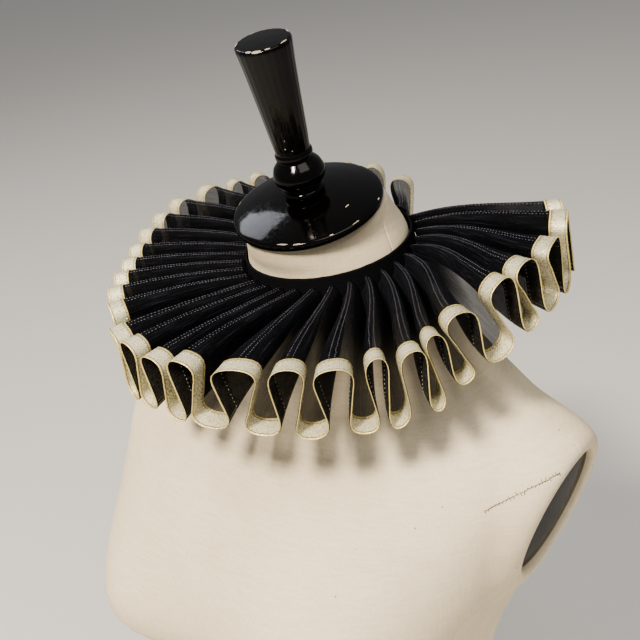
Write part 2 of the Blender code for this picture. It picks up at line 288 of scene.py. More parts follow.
def lay_cloth(bm: bmesh.types.BMesh, columns: int, rows: int, flat: tuple[float, float],
              place: Callable[[float, float], Vector]) -> None:
    """Cut a sheet flat and lay it on a surface, its flat place kept in the UV map "cloth".

    Args:
        bm: the mesh it is made in.
        columns: cells along it.
        rows: cells across it.
        flat: its length along and its width across.
        place: the surface's point, from shares 0 to 1 along and across.
    """
    cut = bm.loops.layers.uv.new("cloth")
    bmesh.ops.create_grid(bm, x_segments=columns, y_segments=rows, size=0.5)
    for face in bm.faces:
        for loop in face.loops:
            loop[cut].uv = ((loop.vert.co.x + 0.5) * flat[0], (loop.vert.co.y + 0.5) * flat[1])
    for vert in bm.verts:
        vert.co = place(vert.co.x + 0.5, vert.co.y + 0.5)


class Sewing:
    """Many stitches or fibres in one mesh, made a short run at a time so that it stays quick."""

    def __init__(self, seed: int) -> None:
        """Start with nothing sewn, and a seeded source of unevenness."""
        self.whole = bmesh.new()
        self.run = bmesh.new()
        self.draw = random.Random(seed)
        self.count = 0

    def stitch(self, middle: Vector, along: Vector, up: Vector,
               size: tuple[float, float, float]) -> None:
        """Add one stitch: a short plump bar of thread.

        Args:
            middle: its middle.
            along: the way it runs.
            up: the cloth's normal there.
            size: its length, width and height.
        """
        run = along.normalized()
        side = up.cross(run).normalized()
        turn = Matrix((run, side, run.cross(side))).transposed().to_4x4()
        shape = Matrix.Diagonal((size[0] / 2, size[1] / 2, size[2] / 2, 1.0))
        bmesh.ops.create_uvsphere(self.run, u_segments=5, v_segments=3, radius=1.0,
                                  matrix=Matrix.Translation(middle) @ turn @ shape
                                  @ Matrix.Rotation(math.pi / 2, 4, "Y"))
        self._count()

    def hair(self, middle: Vector, lean: Vector, long: float, thick: float) -> None:
        """Add one fibre.

        Args:
            middle: its middle.
            lean: the way it points.
            long: its length.
            thick: its radius at the root.
        """
        turn = lean.to_track_quat("Z", "Y").to_matrix().to_4x4()
        bmesh.ops.create_cone(self.run, cap_ends=True, segments=3, radius1=thick,
                              radius2=thick * 0.4, depth=long,
                              matrix=Matrix.Translation(middle) @ turn)
        self._count()

    def _count(self) -> None:
        """Put the run away when it is long enough."""
        self.count += 1
        if self.count % 40 == 0:
            self.put_away()

    def put_away(self) -> bmesh.types.BMesh:
        """Move the run into the whole, and return the whole."""
        mesh = bpy.data.meshes.new("run")
        self.run.to_mesh(mesh)
        self.whole.from_mesh(mesh)
        bpy.data.meshes.remove(mesh)
        self.run.clear()
        return self.whole


# ------------------------------------------------------------------ finishes


@dataclass(frozen=True)
class Organza:
    """Black organza: a stiff plain weave of fine glossy filament, see-through in one layer.

    The eye gets a soft black with a little navy, pale glints painted into the colour along the
    pressed streaks as painted highlights, and a grey veil over whatever lies behind a single layer.
    """

    thread: str = "#050609"
    # painted highlight: the pale colour of the glints along the crinkle streaks
    streak_glint: str = "#3d3e4b"
    thread_spacing: float = 0.8 * MM    # real threads are 0.2 mm apart: drawn coarser, to show
    streak_width: float = 1.5 * MM
    streak_length: float = 26.0 * MM
    hides_least: float = 0.38           # share of light that one face of the shell stops
    hides_most: float = 0.96
    packed_from: float = 4.0 * MM       # nearer the band the gathers lie on each other
    packed_to: float = 62.0 * MM
    roughness: float = 0.75
    sheen: str = "#8d93a8"

    def build(self) -> bpy.types.Material:
        """Build the material."""
        made, tree = new_material("black_crisp_woven_organza")
        cloth = cloth_place(tree)
        drawn = stretched(tree, cloth, self.streak_width, self.streak_length, 1.0)
        streaks = mottle(tree, drawn, detail=5.0, roughness=0.62, space="2D")
        weave = [threads(tree, cloth, self.thread_spacing, 0.6, 1.0, 2.0, way)
                 for way in ("X", "Y")]
        thin_weave = compute(tree, "MULTIPLY_ADD", compute(tree, "MULTIPLY", *weave), 0.45, 0.2)
        veil = compute(tree, "MULTIPLY_ADD", streaks, 0.5, thin_weave)
        outward = add_node(tree, "ShaderNodeSeparateXYZ", {"Vector": cloth}).outputs["Y"]
        packed = remap(tree, outward, (self.packed_from, self.packed_to), (1.5, 0.0))
        dense = compute(tree, "ADD", veil, packed)
        # the pale streak colour on the top of the streak noise is a painted highlight, glints
        # painted along the crinkles
        dress_shader(tree, {
            "Base Color": blend(tree, remap(tree, streaks, (0.54, 0.86)), self.thread, self.streak_glint),
            "Alpha": remap(tree, dense, (0.2, 1.6), (self.hides_least, self.hides_most)),
            "Roughness": self.roughness, "Specular IOR Level": 0.15,
            "Sheen Weight": 0.05, "Sheen Tint": linear(self.sheen)}, streaks, 0.6 * MM, 0.8)
        return made


@dataclass(frozen=True)
class MetalRibbon:
    """Champagne ribbon: flat metallic filament woven between two corded selvedges.

    The eye gets a pale, grainy silver-gold mesh that sparkles, a gold line at either edge, and a
    thin dark line just inside it.
    """

    width: float = 10.6 * MM
    mesh: str = "#ece6cb"
    gaps: str = "#b9b18d"
    selvedge: str = "#f0dc98"
    line: str = "#5f573d"
    pick_spacing: float = 1.0 * MM      # real picks are 0.3 mm apart: drawn coarser, to show
    grain: float = 1.6 * MM
    sparkle: float = 0.8 * MM
    edge_blur: float = 0.2 * MM
    selvedge_width: float = 1.0 * MM
    line_width: float = 0.4 * MM

    def build(self) -> bpy.types.Material:
        """Build the material."""
        made, tree = new_material("champagne_metallic_mesh_ribbon")
        cloth = cloth_place(tree)
        across = add_node(tree, "ShaderNodeSeparateXYZ", {"Vector": cloth}).outputs["Y"]
        off = compute(tree, "ABSOLUTE", compute(tree, "SUBTRACT", across, self.width / 2))
        rim = self.width / 2 - self.selvedge_width
        inked = compute(tree, "COMPARE", off, rim - self.line_width / 2, self.line_width / 2)
        picks = [threads(tree, cloth, self.pick_spacing, 2.5, 2.0, 1.5, way)
                 for way in ("X", "DIAGONAL")]
        grain = mottle(tree, cloth, self.grain, 4.0, 0.7, "2D")
        holes = compute(tree, "ADD", compute(tree, "MULTIPLY", *picks), grain)
        woven = blend(tree, remap(tree, holes, (0.35, 0.85)), self.gaps, self.mesh)
        corded = blend(tree, remap(tree, off, (rim, rim + self.edge_blur)), woven, self.selvedge)
        spark = add_node(tree, "ShaderNodeTexVoronoi", {
            "Vector": cloth, "Scale": 1 / self.sparkle}, voronoi_dimensions="2D")
        cell = add_node(tree, "ShaderNodeSeparateXYZ", {"Vector": spark.outputs["Color"]}).outputs
        dress_shader(tree, {
            "Base Color": blend(tree, inked, corded, self.line), "Metallic": 0.4,
            "Roughness": remap(tree, cell["X"], (0.0, 1.0), (0.2, 0.55))},
            compute(tree, "MULTIPLY_ADD", cell["Y"], 0.7, holes), 0.22 * MM, 0.7)
        return made


@dataclass(frozen=True)
class Grosgrain:
    """Black grosgrain: a matt ribbed band of cotton and rayon, with a slightly furred edge."""

    rib: str = "#060608"
    fluff: str = "#141419"
    rib_spacing: float = 1.3 * MM
    wear: float = 3.0 * MM
    roughness: float = 0.85

    def build(self) -> bpy.types.Material:
        """Build the material."""
        made, tree = new_material("black_ribbed_grosgrain")
        cloth = cloth_place(tree)
        ribs = threads(tree, cloth, self.rib_spacing, 0.8)
        raised = compute(tree, "MULTIPLY", ribs, mottle(tree, cloth, self.wear, 5.0, space="2D"))
        dress_shader(tree, {
            "Base Color": blend(tree, raised, self.rib, self.fluff),
            "Roughness": self.roughness, "Specular IOR Level": 0.2}, ribs, 0.3 * MM, 0.6)
        return made


@dataclass(frozen=True)
class Thread:
    """Sewing thread: twisted polyester, a soft satin in one colour with a twist."""

    name: str
    light: str
    dark: str
    twist: float = 0.5 * MM

    def build(self) -> bpy.types.Material:
        """Build the material."""
        made, tree = new_material(self.name)
        strands = mottle(tree, solid_place(tree), self.twist)
        dress_shader(tree, {"Base Color": blend(tree, strands, self.dark, self.light),
                            "Roughness": 0.45})
        return made


@dataclass(frozen=True)
class Linen:
    """Unbleached linen canvas stretched over papier-mache: matt, with slubs and small specks."""

    light: str = "#f3e6cc"
    dark: str = "#e3d2b2"
    speck: str = "#5d4b38"
    thread_spacing: float = 1.3 * MM    # real threads are 0.6 mm apart: drawn coarser, to show
    slub_length: float = 15.0 * MM
    stain: float = 90.0 * MM
    speck_spacing: float = 17.0 * MM

    def build(self) -> bpy.types.Material:
        """Build the material."""
        made, tree = new_material("unbleached_linen_canvas")
        here = solid_place(tree)
        fine, long = self.thread_spacing, self.slub_length
        slubs = [mottle(tree, stretched(tree, here, *sizes), detail=3.0, roughness=0.55)
                 for sizes in ((fine, fine, long), (long, long, fine))]
        woven = compute(tree, "ADD", *slubs)
        stains = mottle(tree, here, self.stain, 4.0)
        shade = remap(tree, compute(tree, "MULTIPLY_ADD", woven, 0.75, stains), (0.95, 1.55))
        dots = add_node(tree, "ShaderNodeTexVoronoi", {
            "Vector": here, "Scale": 1 / self.speck_spacing}).outputs["Distance"]
        specked = blend(tree, remap(tree, dots, (0.022, 0.04), (0.75, 0.0)),
                        blend(tree, shade, self.dark, self.light), self.speck)
        dress_shader(tree, {
            "Base Color": specked, "Roughness": remap(tree, stains, (0.0, 1.0), (0.78, 0.95)),
            "Specular IOR Level": 0.25}, woven, 0.3 * MM, 0.55)
        return made


@dataclass(frozen=True)
class Lacquer:
    """Brushed black gloss lacquer on turned wood: deep, wet-looking, faintly uneven and dusty."""

    name: str
    body: str = "#020203"
    worn: str = "#080503"
    ripple: float = 7.0 * MM            # brush marks and settling in the lacquer
    grain_length: float = 60.0 * MM
    dust: float = 2.5 * MM
    roughness: float = 0.07
    specular: float = 0.3

    def build(self) -> bpy.types.Material:
        """Build the material."""
        made, tree = new_material(self.name)
        here = solid_place(tree)
        brushed = mottle(tree, stretched(tree, here, self.ripple, self.ripple, self.grain_length))
        dust = mottle(tree, here, self.dust, 6.0, 0.7)
        dress_shader(tree, {
            "Base Color": blend(tree, brushed, self.body, self.worn),
            "Roughness": remap(tree, dust, (0.45, 0.8), (self.roughness, self.roughness + 0.25)),
            "Specular IOR Level": self.specular}, brushed, 0.4 * MM, 0.3)
        return made


@dataclass(frozen=True)
class Plaster:
    """Chalky primer that shows where the lacquer is chipped: pale, dry and matt."""

    light: str = "#c9bfae"
    dark: str = "#7d6f5c"
    crumb: float = 1.2 * MM

    def build(self) -> bpy.types.Material:
        """Build the material."""
        made, tree = new_material("chalky_primer_chips")
        crumbs = mottle(tree, solid_place(tree), self.crumb, 4.0)
        dress_shader(tree, {"Base Color": blend(tree, crumbs, self.dark, self.light),
                            "Roughness": 0.7})
        return made


@dataclass(frozen=True)
class Enamel:
    """Baked black enamel on the steel closure: hard, smooth, with a faint orange peel."""

    body: str = "#101012"
    peel: float = 0.8 * MM
    roughness: float = 0.3

    def build(self) -> bpy.types.Material:
        """Build the material."""
        made, tree = new_material("black_baked_enamel")
        peel = mottle(tree, solid_place(tree), self.peel)
        dress_shader(tree, {
            "Base Color": linear(self.body),
            "Roughness": remap(tree, peel, (0.0, 1.0), (self.roughness, self.roughness + 0.15))},
            peel, 0.05 * MM, 0.4)
        return made


@dataclass(frozen=True)
class PaleFloor:
    """A plain pale studio floor, matt."""

    colour: str = "#e6e3dd"

    def build(self) -> bpy.types.Material:
        """Build the material."""
        made, tree = new_material("pale_studio_floor")
        dress_shader(tree, {"Base Color": linear(self.colour), "Roughness": 0.9})
        return made


# ------------------------------------------------------------------ the studio


@dataclass(frozen=True)
class SoftLight:
    """A square light that looks at the collar: its place round and above it, side and watts."""

    name: str
    azimuth_deg: float
    height_deg: float
    distance: float
    size: float
    power: float
    tint: str


@dataclass
class Studio:
    """Camera, soft lights and the pale floor."""

    target: Vector
    stand: Vector = field(default_factory=lambda: Vector((0.3818, -0.4340, 0.2498)))
    azimuth: float = math.radians(42.5)
    look_down: float = math.radians(28.56)
    roll: float = math.radians(-6.37)
    lens_mm: float = 50.55
    lights: tuple[SoftLight, ...] = (
        SoftLight("key_light", 6.0, 47.5, 2.2, 0.34, 72.0, "#fff4e4"),
        SoftLight("fill_light", 70.0, 62.0, 3.2, 2.2, 46.0, "#fffaf2"),
        SoftLight("side_light", -98.0, 40.0, 2.6, 0.9, 12.0, "#f4f6ff"))
    air: str = "#dfe1e4"
    air_strength: float = 0.34
    floor_size: float = 20.0

    def build(self) -> None:
        """Build the camera, the lights, the world and the floor."""
        self._camera()
        self._lights()
        self._floor()
        LOG.info("studio: camera, %d lights, world and floor", len(self.lights))

    def _camera(self) -> None:
        """Place the camera by its stand, the way it looks, and its roll."""
        lens = bpy.data.cameras.new("studio_camera")
        lens.sensor_width = 36.0
        lens.lens = self.lens_mm
        lens.clip_start = 0.02
        camera = bpy.data.objects.new("studio_camera", lens)
        bpy.context.scene.collection.objects.link(camera)
        turn = (Matrix.Rotation(self.azimuth, 4, "Z")
                @ Matrix.Rotation(math.pi / 2 - self.look_down, 4, "X")
                @ Matrix.Rotation(self.roll, 4, "Z"))
        camera.matrix_world = Matrix.Translation(self.target + self.stand) @ turn
        bpy.context.scene.camera = camera

    def _hang(self, soft: SoftLight) -> None:
        """Add one light."""
        lamp = bpy.data.lights.new(soft.name, "AREA")
        lamp.energy = soft.power
        lamp.size = soft.size
        lamp.color = linear(soft.tint)[:3]
        azimuth, height = math.radians(soft.azimuth_deg), math.radians(soft.height_deg)
        way = Vector((math.sin(azimuth) * math.cos(height), -math.cos(azimuth) * math.cos(height),
                      math.sin(height)))
        light = bpy.data.objects.new(soft.name, lamp)
        bpy.context.scene.collection.objects.link(light)
        light.matrix_world = (Matrix.Translation(self.target + way * soft.distance)
                              @ way.to_track_quat("Z", "Y").to_matrix().to_4x4())

    def _lights(self) -> None:
        """Add the lights and a pale world."""
        for soft in self.lights:
            self._hang(soft)
        world = bpy.data.worlds.new("pale_studio")
        world.use_nodes = True
        background = world.node_tree.nodes["Background"]
        background.inputs["Color"].default_value = linear(self.air)
        background.inputs["Strength"].default_value = self.air_strength
        bpy.context.scene.world = world
        bpy.context.scene.view_settings.look = "AgX - Medium High Contrast"

    def _floor(self) -> None:
        """Lay the floor under the form."""
        bm = bmesh.new()
        bmesh.ops.create_grid(bm, x_segments=1, y_segments=1, size=self.floor_size)
        mesh = bpy.data.meshes.new("studio_floor")
        bm.to_mesh(mesh)
        bm.free()
        mesh.materials.append(PaleFloor().build())
        floor = bpy.data.objects.new("studio_floor", mesh)
        bpy.context.scene.collection.objects.link(floor)


# ------------------------------------------------------------------ the collar


@dataclass(frozen=True)
class CollarPlane:
    """The tilted plane that the collar lies in, and the band's radii there."""

    height: float = BAND_HEIGHT
    pitch: float = math.radians(5.0)    # dips towards the front
    roll: float = math.radians(3.2)     # sits a little higher on the form's left
    band_top: float = 58.4 * MM
    band_bottom: float = 60.6 * MM
    band_width: float = 16.0 * MM
    opening: float = math.radians(159.0)
    gap: float = math.radians(2.4)

    def matrix(self) -> Matrix:
        """The plane's matrix, its origin at the band's centre and its Z square to the plane."""
        return (Matrix.Translation((0.0, 0.0, self.height)) @ Matrix.Rotation(self.pitch, 4, "X")
                @ Matrix.Rotation(-self.roll, 4, "Y"))

    def polar(self, azimuth: float, radius: float, height: float, forward: float = 0.0) -> Vector:
        """A point of the plane, from azimuth, radius and height, its centre moved forward."""
        return Vector((radius * math.sin(azimuth), -radius * math.cos(azimuth) - forward, height))

    def band_radius(self, height: float) -> float:
        """The middle of the band's wall at a height from its upper edge."""
        return self.band_top + (self.band_bottom - self.band_top) * -height / self.band_width


@dataclass(frozen=True)
class Fold:
    """One loop of the strip: where its crest and its trough reach the outer edge."""

    crest_deg: float
    trough_deg: float
    height_mm: float
    reach_mm: float
    rise_mm: float


FOLDS = tuple(Fold(*row) for row in (
    (-166.0, -161.0, 46, -6, -20),
    (-157.0, -152.0, 48, -4, -9),
    (-148.0, -144.0, 47, -2, -6),
    (-139.5, -134.0, 49, 0, -2),
    (-129.0, -124.0, 48, 0, 0),
    (-119.0, -115.5, 47, 0, 2),
    (-111.5, -107.5, 48, 2, 3),
    (-103.0, -97.5, 50, 5, 6),
    (-92.0, -88.5, 49, 7, 6),
    (-84.0, -80.0, 48, 5, 4),
    (-75.5, -71.0, 47, 2, 2),
    (-67.0, -63.0, 46, -1, 0),
    (-59.0, -54.5, 47, -3, -1),
    (-50.0, -45.0, 48, -3, 0),
    (-40.5, -35.5, 47, -1, 1),
    (-30.5, -25.0, 46, 0, 2),
    (-20.0, -15.5, 45, 7, -2),
    (-9.5, -6.0, 43, 9, 2),
    (-0.5, 4.0, 41, 10, 0),
    (7.5, 12.0, 44, 10, 3),
    (21.0, 24.5, 44, 9, 0),
    (31.5, 34.0, 47, 8, -2),
    (40.5, 45.5, 45, 8, -6),
    (49.5, 51.5, 48, 8, -5),
    (57.0, 60.5, 43, 9, -7),
    (62.0, 68.0, 39, 4, -5),
    (68.0, 78.0, 43, 5, 2),
    (81.0, 88.5, 45, 6, 8),
    (88.5, 100.0, 48, 6, 8),
    (102.0, 110.0, 46, 9, 3),
    (116.5, 121.0, 49, 12, 3),
    (124.5, 129.0, 47, 9, 1),
))


@dataclass(frozen=True)
class Knot:
    """A crest or a trough at the outer edge."""

    azimuth: float
    swing: float                        # +1 at a crest, -1 at a trough
    height: float
    reach: float
    rise: float


@dataclass
class PleatedStrip:
    """The surface of the pleated strip: "walls" run from a crest to the next trough."""

    plane: CollarPlane
    start_deg: float = -171.0           # the strip's first end, a trough like its last
    top_at_band: float = -6.0 * MM      # crest height, from the band's upper edge
    top_at_edge: float = 3.4 * MM
    deep_at_band: float = 9.5 * MM      # crest to trough
    growth: float = 0.85                # below 1, the depth grows fastest beside the band
    forward: float = 5.0 * MM           # the outer edge's centre, towards the front
    radius: float = 152.0 * MM          # of the outer edge, before a fold's own reach
    trough_reach: float = 2.0 * MM
    bulge: float = 0.24                 # how far a loop swells sideways, as a share of spacing
    round_spacing: float = math.radians(11.0)   # folds this far apart swell fully
    tight_share: float = 0.7            # and the tightest folds by this share of it
    squareness: float = 0.75            # below 1, crests and troughs are flatter
    stand_off: float = 1.1 * MM         # from the middle of the band's wall
    gather: float = 0.9 * MM            # height of the small tucks beside the band
    gather_to: float = 0.34             # how far out they die away
    gathers_per_wall: float = 1.5
    knots: list[Knot] = field(default_factory=list)

    def __post_init__(self) -> None:
        """Turn the table of folds into knots."""
        first = FOLDS[0]
        self.knots.append(Knot(math.radians(self.start_deg), -1.0, first.height_mm * MM,
                               first.reach_mm * MM, first.rise_mm * MM))
        for fold in FOLDS:
            sizes = (fold.height_mm * MM, fold.reach_mm * MM, fold.rise_mm * MM)
            self.knots.append(Knot(math.radians(fold.crest_deg), 1.0, *sizes))
            self.knots.append(Knot(math.radians(fold.trough_deg), -1.0, *sizes))

    @property
    def walls(self) -> int:
        """How many walls the strip has."""
        return len(self.knots) - 1

    def edge(self, at: float) -> tuple[float, float, float, float, float]:
        """The outer edge at a place along the strip.

        Args:
            at: the place, in walls from the strip's first end.

        Returns:
            Azimuth, swing, height, reach and rise.
        """
        wall = min(max(int(at), 0), self.walls - 1)
        along = at - wall
        start, end = self.knots[wall], self.knots[wall + 1]
        low, high = max(wall - 1, 0), min(wall + 2, self.walls)
        spacing = (self.knots[high].azimuth - self.knots[low].azimuth) * 2 / (high - low)
        azimuth = start.azimuth + (end.azimuth - start.azimuth) * along
        bulge = self.bulge * min(max(spacing / self.round_spacing, self.tight_share), 1.0)
        azimuth += bulge * spacing * math.sin(2 * math.pi * along)
        cosine = math.cos(math.pi * along)
        swing = start.swing * math.copysign(abs(cosine) ** self.squareness, cosine)
        return (azimuth, swing, start.height + (end.height - start.height) * along,
                start.reach + (end.reach - start.reach) * along,
                start.rise + (end.rise - start.rise) * along)

    def smooth_point(self, at: float, out: float) -> Vector:
        """The middle of the cloth without its small tucks.

        Args:
            at: the place along the strip, in walls.
            out: 0 at the band, 1 at the outer edge.

        Returns:
            The point in the collar's plane.
        """
        azimuth, swing, height, reach, rise = self.edge(at)
        plane = self.plane
        first = plane.opening - 2 * math.pi + plane.gap / 2
        even = first + (2 * math.pi - plane.gap) * at / self.walls
        azimuth = even + (azimuth - even) * math.sin(min(out, 1.0) * math.pi / 2)
        deep = self.deep_at_band + (height - self.deep_at_band) * out ** self.growth
        swell = 1.0 - (1.0 - out) ** 2
        top = self.top_at_band + (self.top_at_edge + rise - self.top_at_band) * swell
        inner = plane.band_radius(self.top_at_band - self.deep_at_band * (1.0 - swing) / 2)
        inner += self.stand_off
        outer = self.radius + reach + self.trough_reach * (1.0 - swing) / 2
        return plane.polar(azimuth, inner + (outer - inner) * out,
                           top - deep * (1.0 - swing) / 2, self.forward * out)

    def normal(self, at: float, out: float) -> Vector:
        """Unit normal of the cloth's upper face, in the collar's plane."""
        left, right = max(at - 0.08, 0.0), min(at + 0.08, float(self.walls))
        near, far = max(out - 0.04, 0.0), min(out + 0.04, 1.0)
        across = self.smooth_point(right, out) - self.smooth_point(left, out)
        outward = self.smooth_point(at, far) - self.smooth_point(at, near)
        return outward.cross(across).normalized()

    def relief(self, at: float, out: float) -> float:
        """How far the tucks beside the band lift the cloth."""
        fade = max(1.0 - out / self.gather_to, 0.0) ** 1.5
        uneven = 0.7 + 0.6 * noise.noise(Vector((at * 0.9, 3.1, 0.0)))
        return self.gather * fade * uneven * math.sin(2 * math.pi * self.gathers_per_wall * at)

    def point(self, at: float, out: float, lift: float = 0.0) -> Vector:
        """The cloth's middle with its small tucks.

        Args:
            at: the place along the strip, in walls.
            out: 0 at the band, 1 at the outer edge.
            lift: a further distance above the upper face.

        Returns:
            The point in the collar's plane.
        """
        rise = self.relief(at, out) + lift
        return self.smooth_point(at, out) + self.normal(at, out) * rise


@dataclass(frozen=True)
class Crease:
    """A soft ridge or trough that a hand has pressed into a wall of the ruffle."""

    wall: float
    start: float
    end: float
    depth_mm: float
    width_mm: float


CREASES = tuple(Crease(*row) for row in (
    (3.4, 0.15, 0.80, 0.9, 2.4), (7.6, 0.20, 0.62, -0.8, 2.0), (10.5, 0.10, 0.86, 0.7, 2.2),
    (14.4, 0.25, 0.75, 1.0, 2.6), (17.6, 0.12, 0.66, -0.7, 2.0), (20.5, 0.18, 0.88, 0.9, 2.3),
    (22.4, 0.30, 0.70, -0.9, 2.8), (25.5, 0.08, 0.80, 0.8, 2.0), (27.6, 0.22, 0.60, 1.1, 2.5),
    (30.4, 0.15, 0.84, -0.8, 2.2), (32.5, 0.28, 0.72, 0.9, 2.6), (34.4, 0.10, 0.64, 0.7, 2.0),
    (37.6, 0.18, 0.80, -1.0, 2.4), (40.5, 0.12, 0.58, 0.8, 2.1), (43.4, 0.24, 0.82, 0.9, 2.5),
    (46.6, 0.14, 0.70, -0.7, 2.0), (49.5, 0.20, 0.86, 1.0, 2.7), (52.4, 0.10, 0.62, 0.8, 2.2),
    (55.6, 0.26, 0.78, -0.9, 2.4), (58.5, 0.16, 0.68, 0.8, 2.1), (61.4, 0.22, 0.80, 0.9, 2.3),
))


@dataclass
class Ruffle:
    """The pleated organza strip with its two rows of fine pale thread along each crest, their pale
    colour a painted highlight for the glints along the pressed crease.
    """

    strip: PleatedStrip
    wall: float = 0.3 * MM
    steps_per_wall: int = 14
    rows: int = 26
    flat_length: float = 3.25           # too short: the folds' outer edge measures 3.68
    flat_width: float = 0.098
    wall_run_mm: float = 50.0           # the outer edge's run from a crest to a trough
    rows_start: float = 0.035           # the crest rows' ends, 0 at the band, 1 at the edge
    rows_end: float = 1.0 - 10.0 * MM / STRIP_RUN - 0.01
    row_apart_at_band: float = 1.5 * MM
    row_apart_at_edge: float = 3.1 * MM
    stitch: tuple[float, float, float] = (1.25 * MM, 0.4 * MM, 0.32 * MM)
    stitch_pitch: float = 2.0 * MM
    stitch_lift: float = 0.08 * MM
    stray: float = 0.1 * MM

    def crease(self, at: float, out: float) -> float:
        """How far the pressed creases lift the cloth at a place."""
        lift = 0.0
        wide = self.wall_run_mm * (0.25 + 0.75 * out)
        for crease in CREASES:
            off = (at - crease.wall) * wide / crease.width_mm
            if abs(off) < 3.0 and crease.start < out < crease.end:
                along = (out - crease.start) / (crease.end - crease.start)
                lift += crease.depth_mm * MM * math.exp(-off * off) * math.sin(math.pi * along)
        return lift

    def place(self, along: float, across: float) -> Vector:
        """The cloth's point, from shares along the strip and across it."""
        at = along * self.strip.walls
        return self.strip.point(at, across, self.crease(at, across))

    def beside_crest(self, crest: float, out: float, off: float) -> float:
        """The place along the strip that lies off a crest by a distance.

        Args:
            crest: the crest, in walls.
            out: 0 at the band, 1 at the outer edge.
            off: the signed distance along the cloth.

        Returns:
            The place, in walls.
        """
        step = math.copysign(0.01, off)
        at, last, gone = crest, self.strip.smooth_point(crest, out), 0.0
        while gone < abs(off):
            at += step
            here = self.strip.smooth_point(at, out)
            gone += (here - last).length
            last = here
        return at

    def build(self) -> bpy.types.Object:
        """Build the strip and its crest rows.

        Returns:
            The strip.
        """
        bm = bmesh.new()
        lay_cloth(bm, self.strip.walls * self.steps_per_wall, self.rows,
                  (self.flat_length, self.flat_width), self.place)
        bm.transform(self.strip.plane.matrix())
        piece = finish_piece("organza_ruffle", bm, Organza().build(), Slot.ORGANZA, ["ruffle"],
                             outwards=False)
        thicken(piece, self.wall)
        rows = self._crest_rows()
        return piece

    def _crest_rows(self) -> bpy.types.Object:
        """Sew two rows of short stitches along every crest, in pale thread that paints the glints
        along the pressed crease.
        """
        sewing = Sewing(7)
        draw = sewing.draw
        lift = self.wall / 2 + self.stitch_lift
        for crest in range(1, self.strip.walls, 2):
            for side in (-1, 1):
                out = self.rows_start
                while out < self.rows_end:
                    apart = self.row_apart_at_band + (
                        self.row_apart_at_edge - self.row_apart_at_band) * out
                    off = side * apart / 2 + draw.uniform(-self.stray, self.stray)
                    at = self.beside_crest(crest, out, off)
                    here = self.strip.point(at, out, lift)
                    ahead = self.strip.point(at, out + 0.01, lift)
                    length = self.stitch[0] * draw.uniform(0.55, 1.15)
                    sewing.stitch(here, ahead - here, self.strip.normal(at, out),
                                  (length, self.stitch[1], self.stitch[2]))
                    out += self.stitch_pitch * draw.uniform(0.85, 1.2) / STRIP_RUN
        bm = sewing.put_away()
        bm.transform(self.strip.plane.matrix())
        # pale thread: a painted highlight standing for the glints along each pressed crease
        thread = Thread("pale_crest_glint_thread", "#a9a7b8", "#54525e")
        return finish_piece("crest_glint_stitches", bm, thread.build(), Slot.ORGANZA)


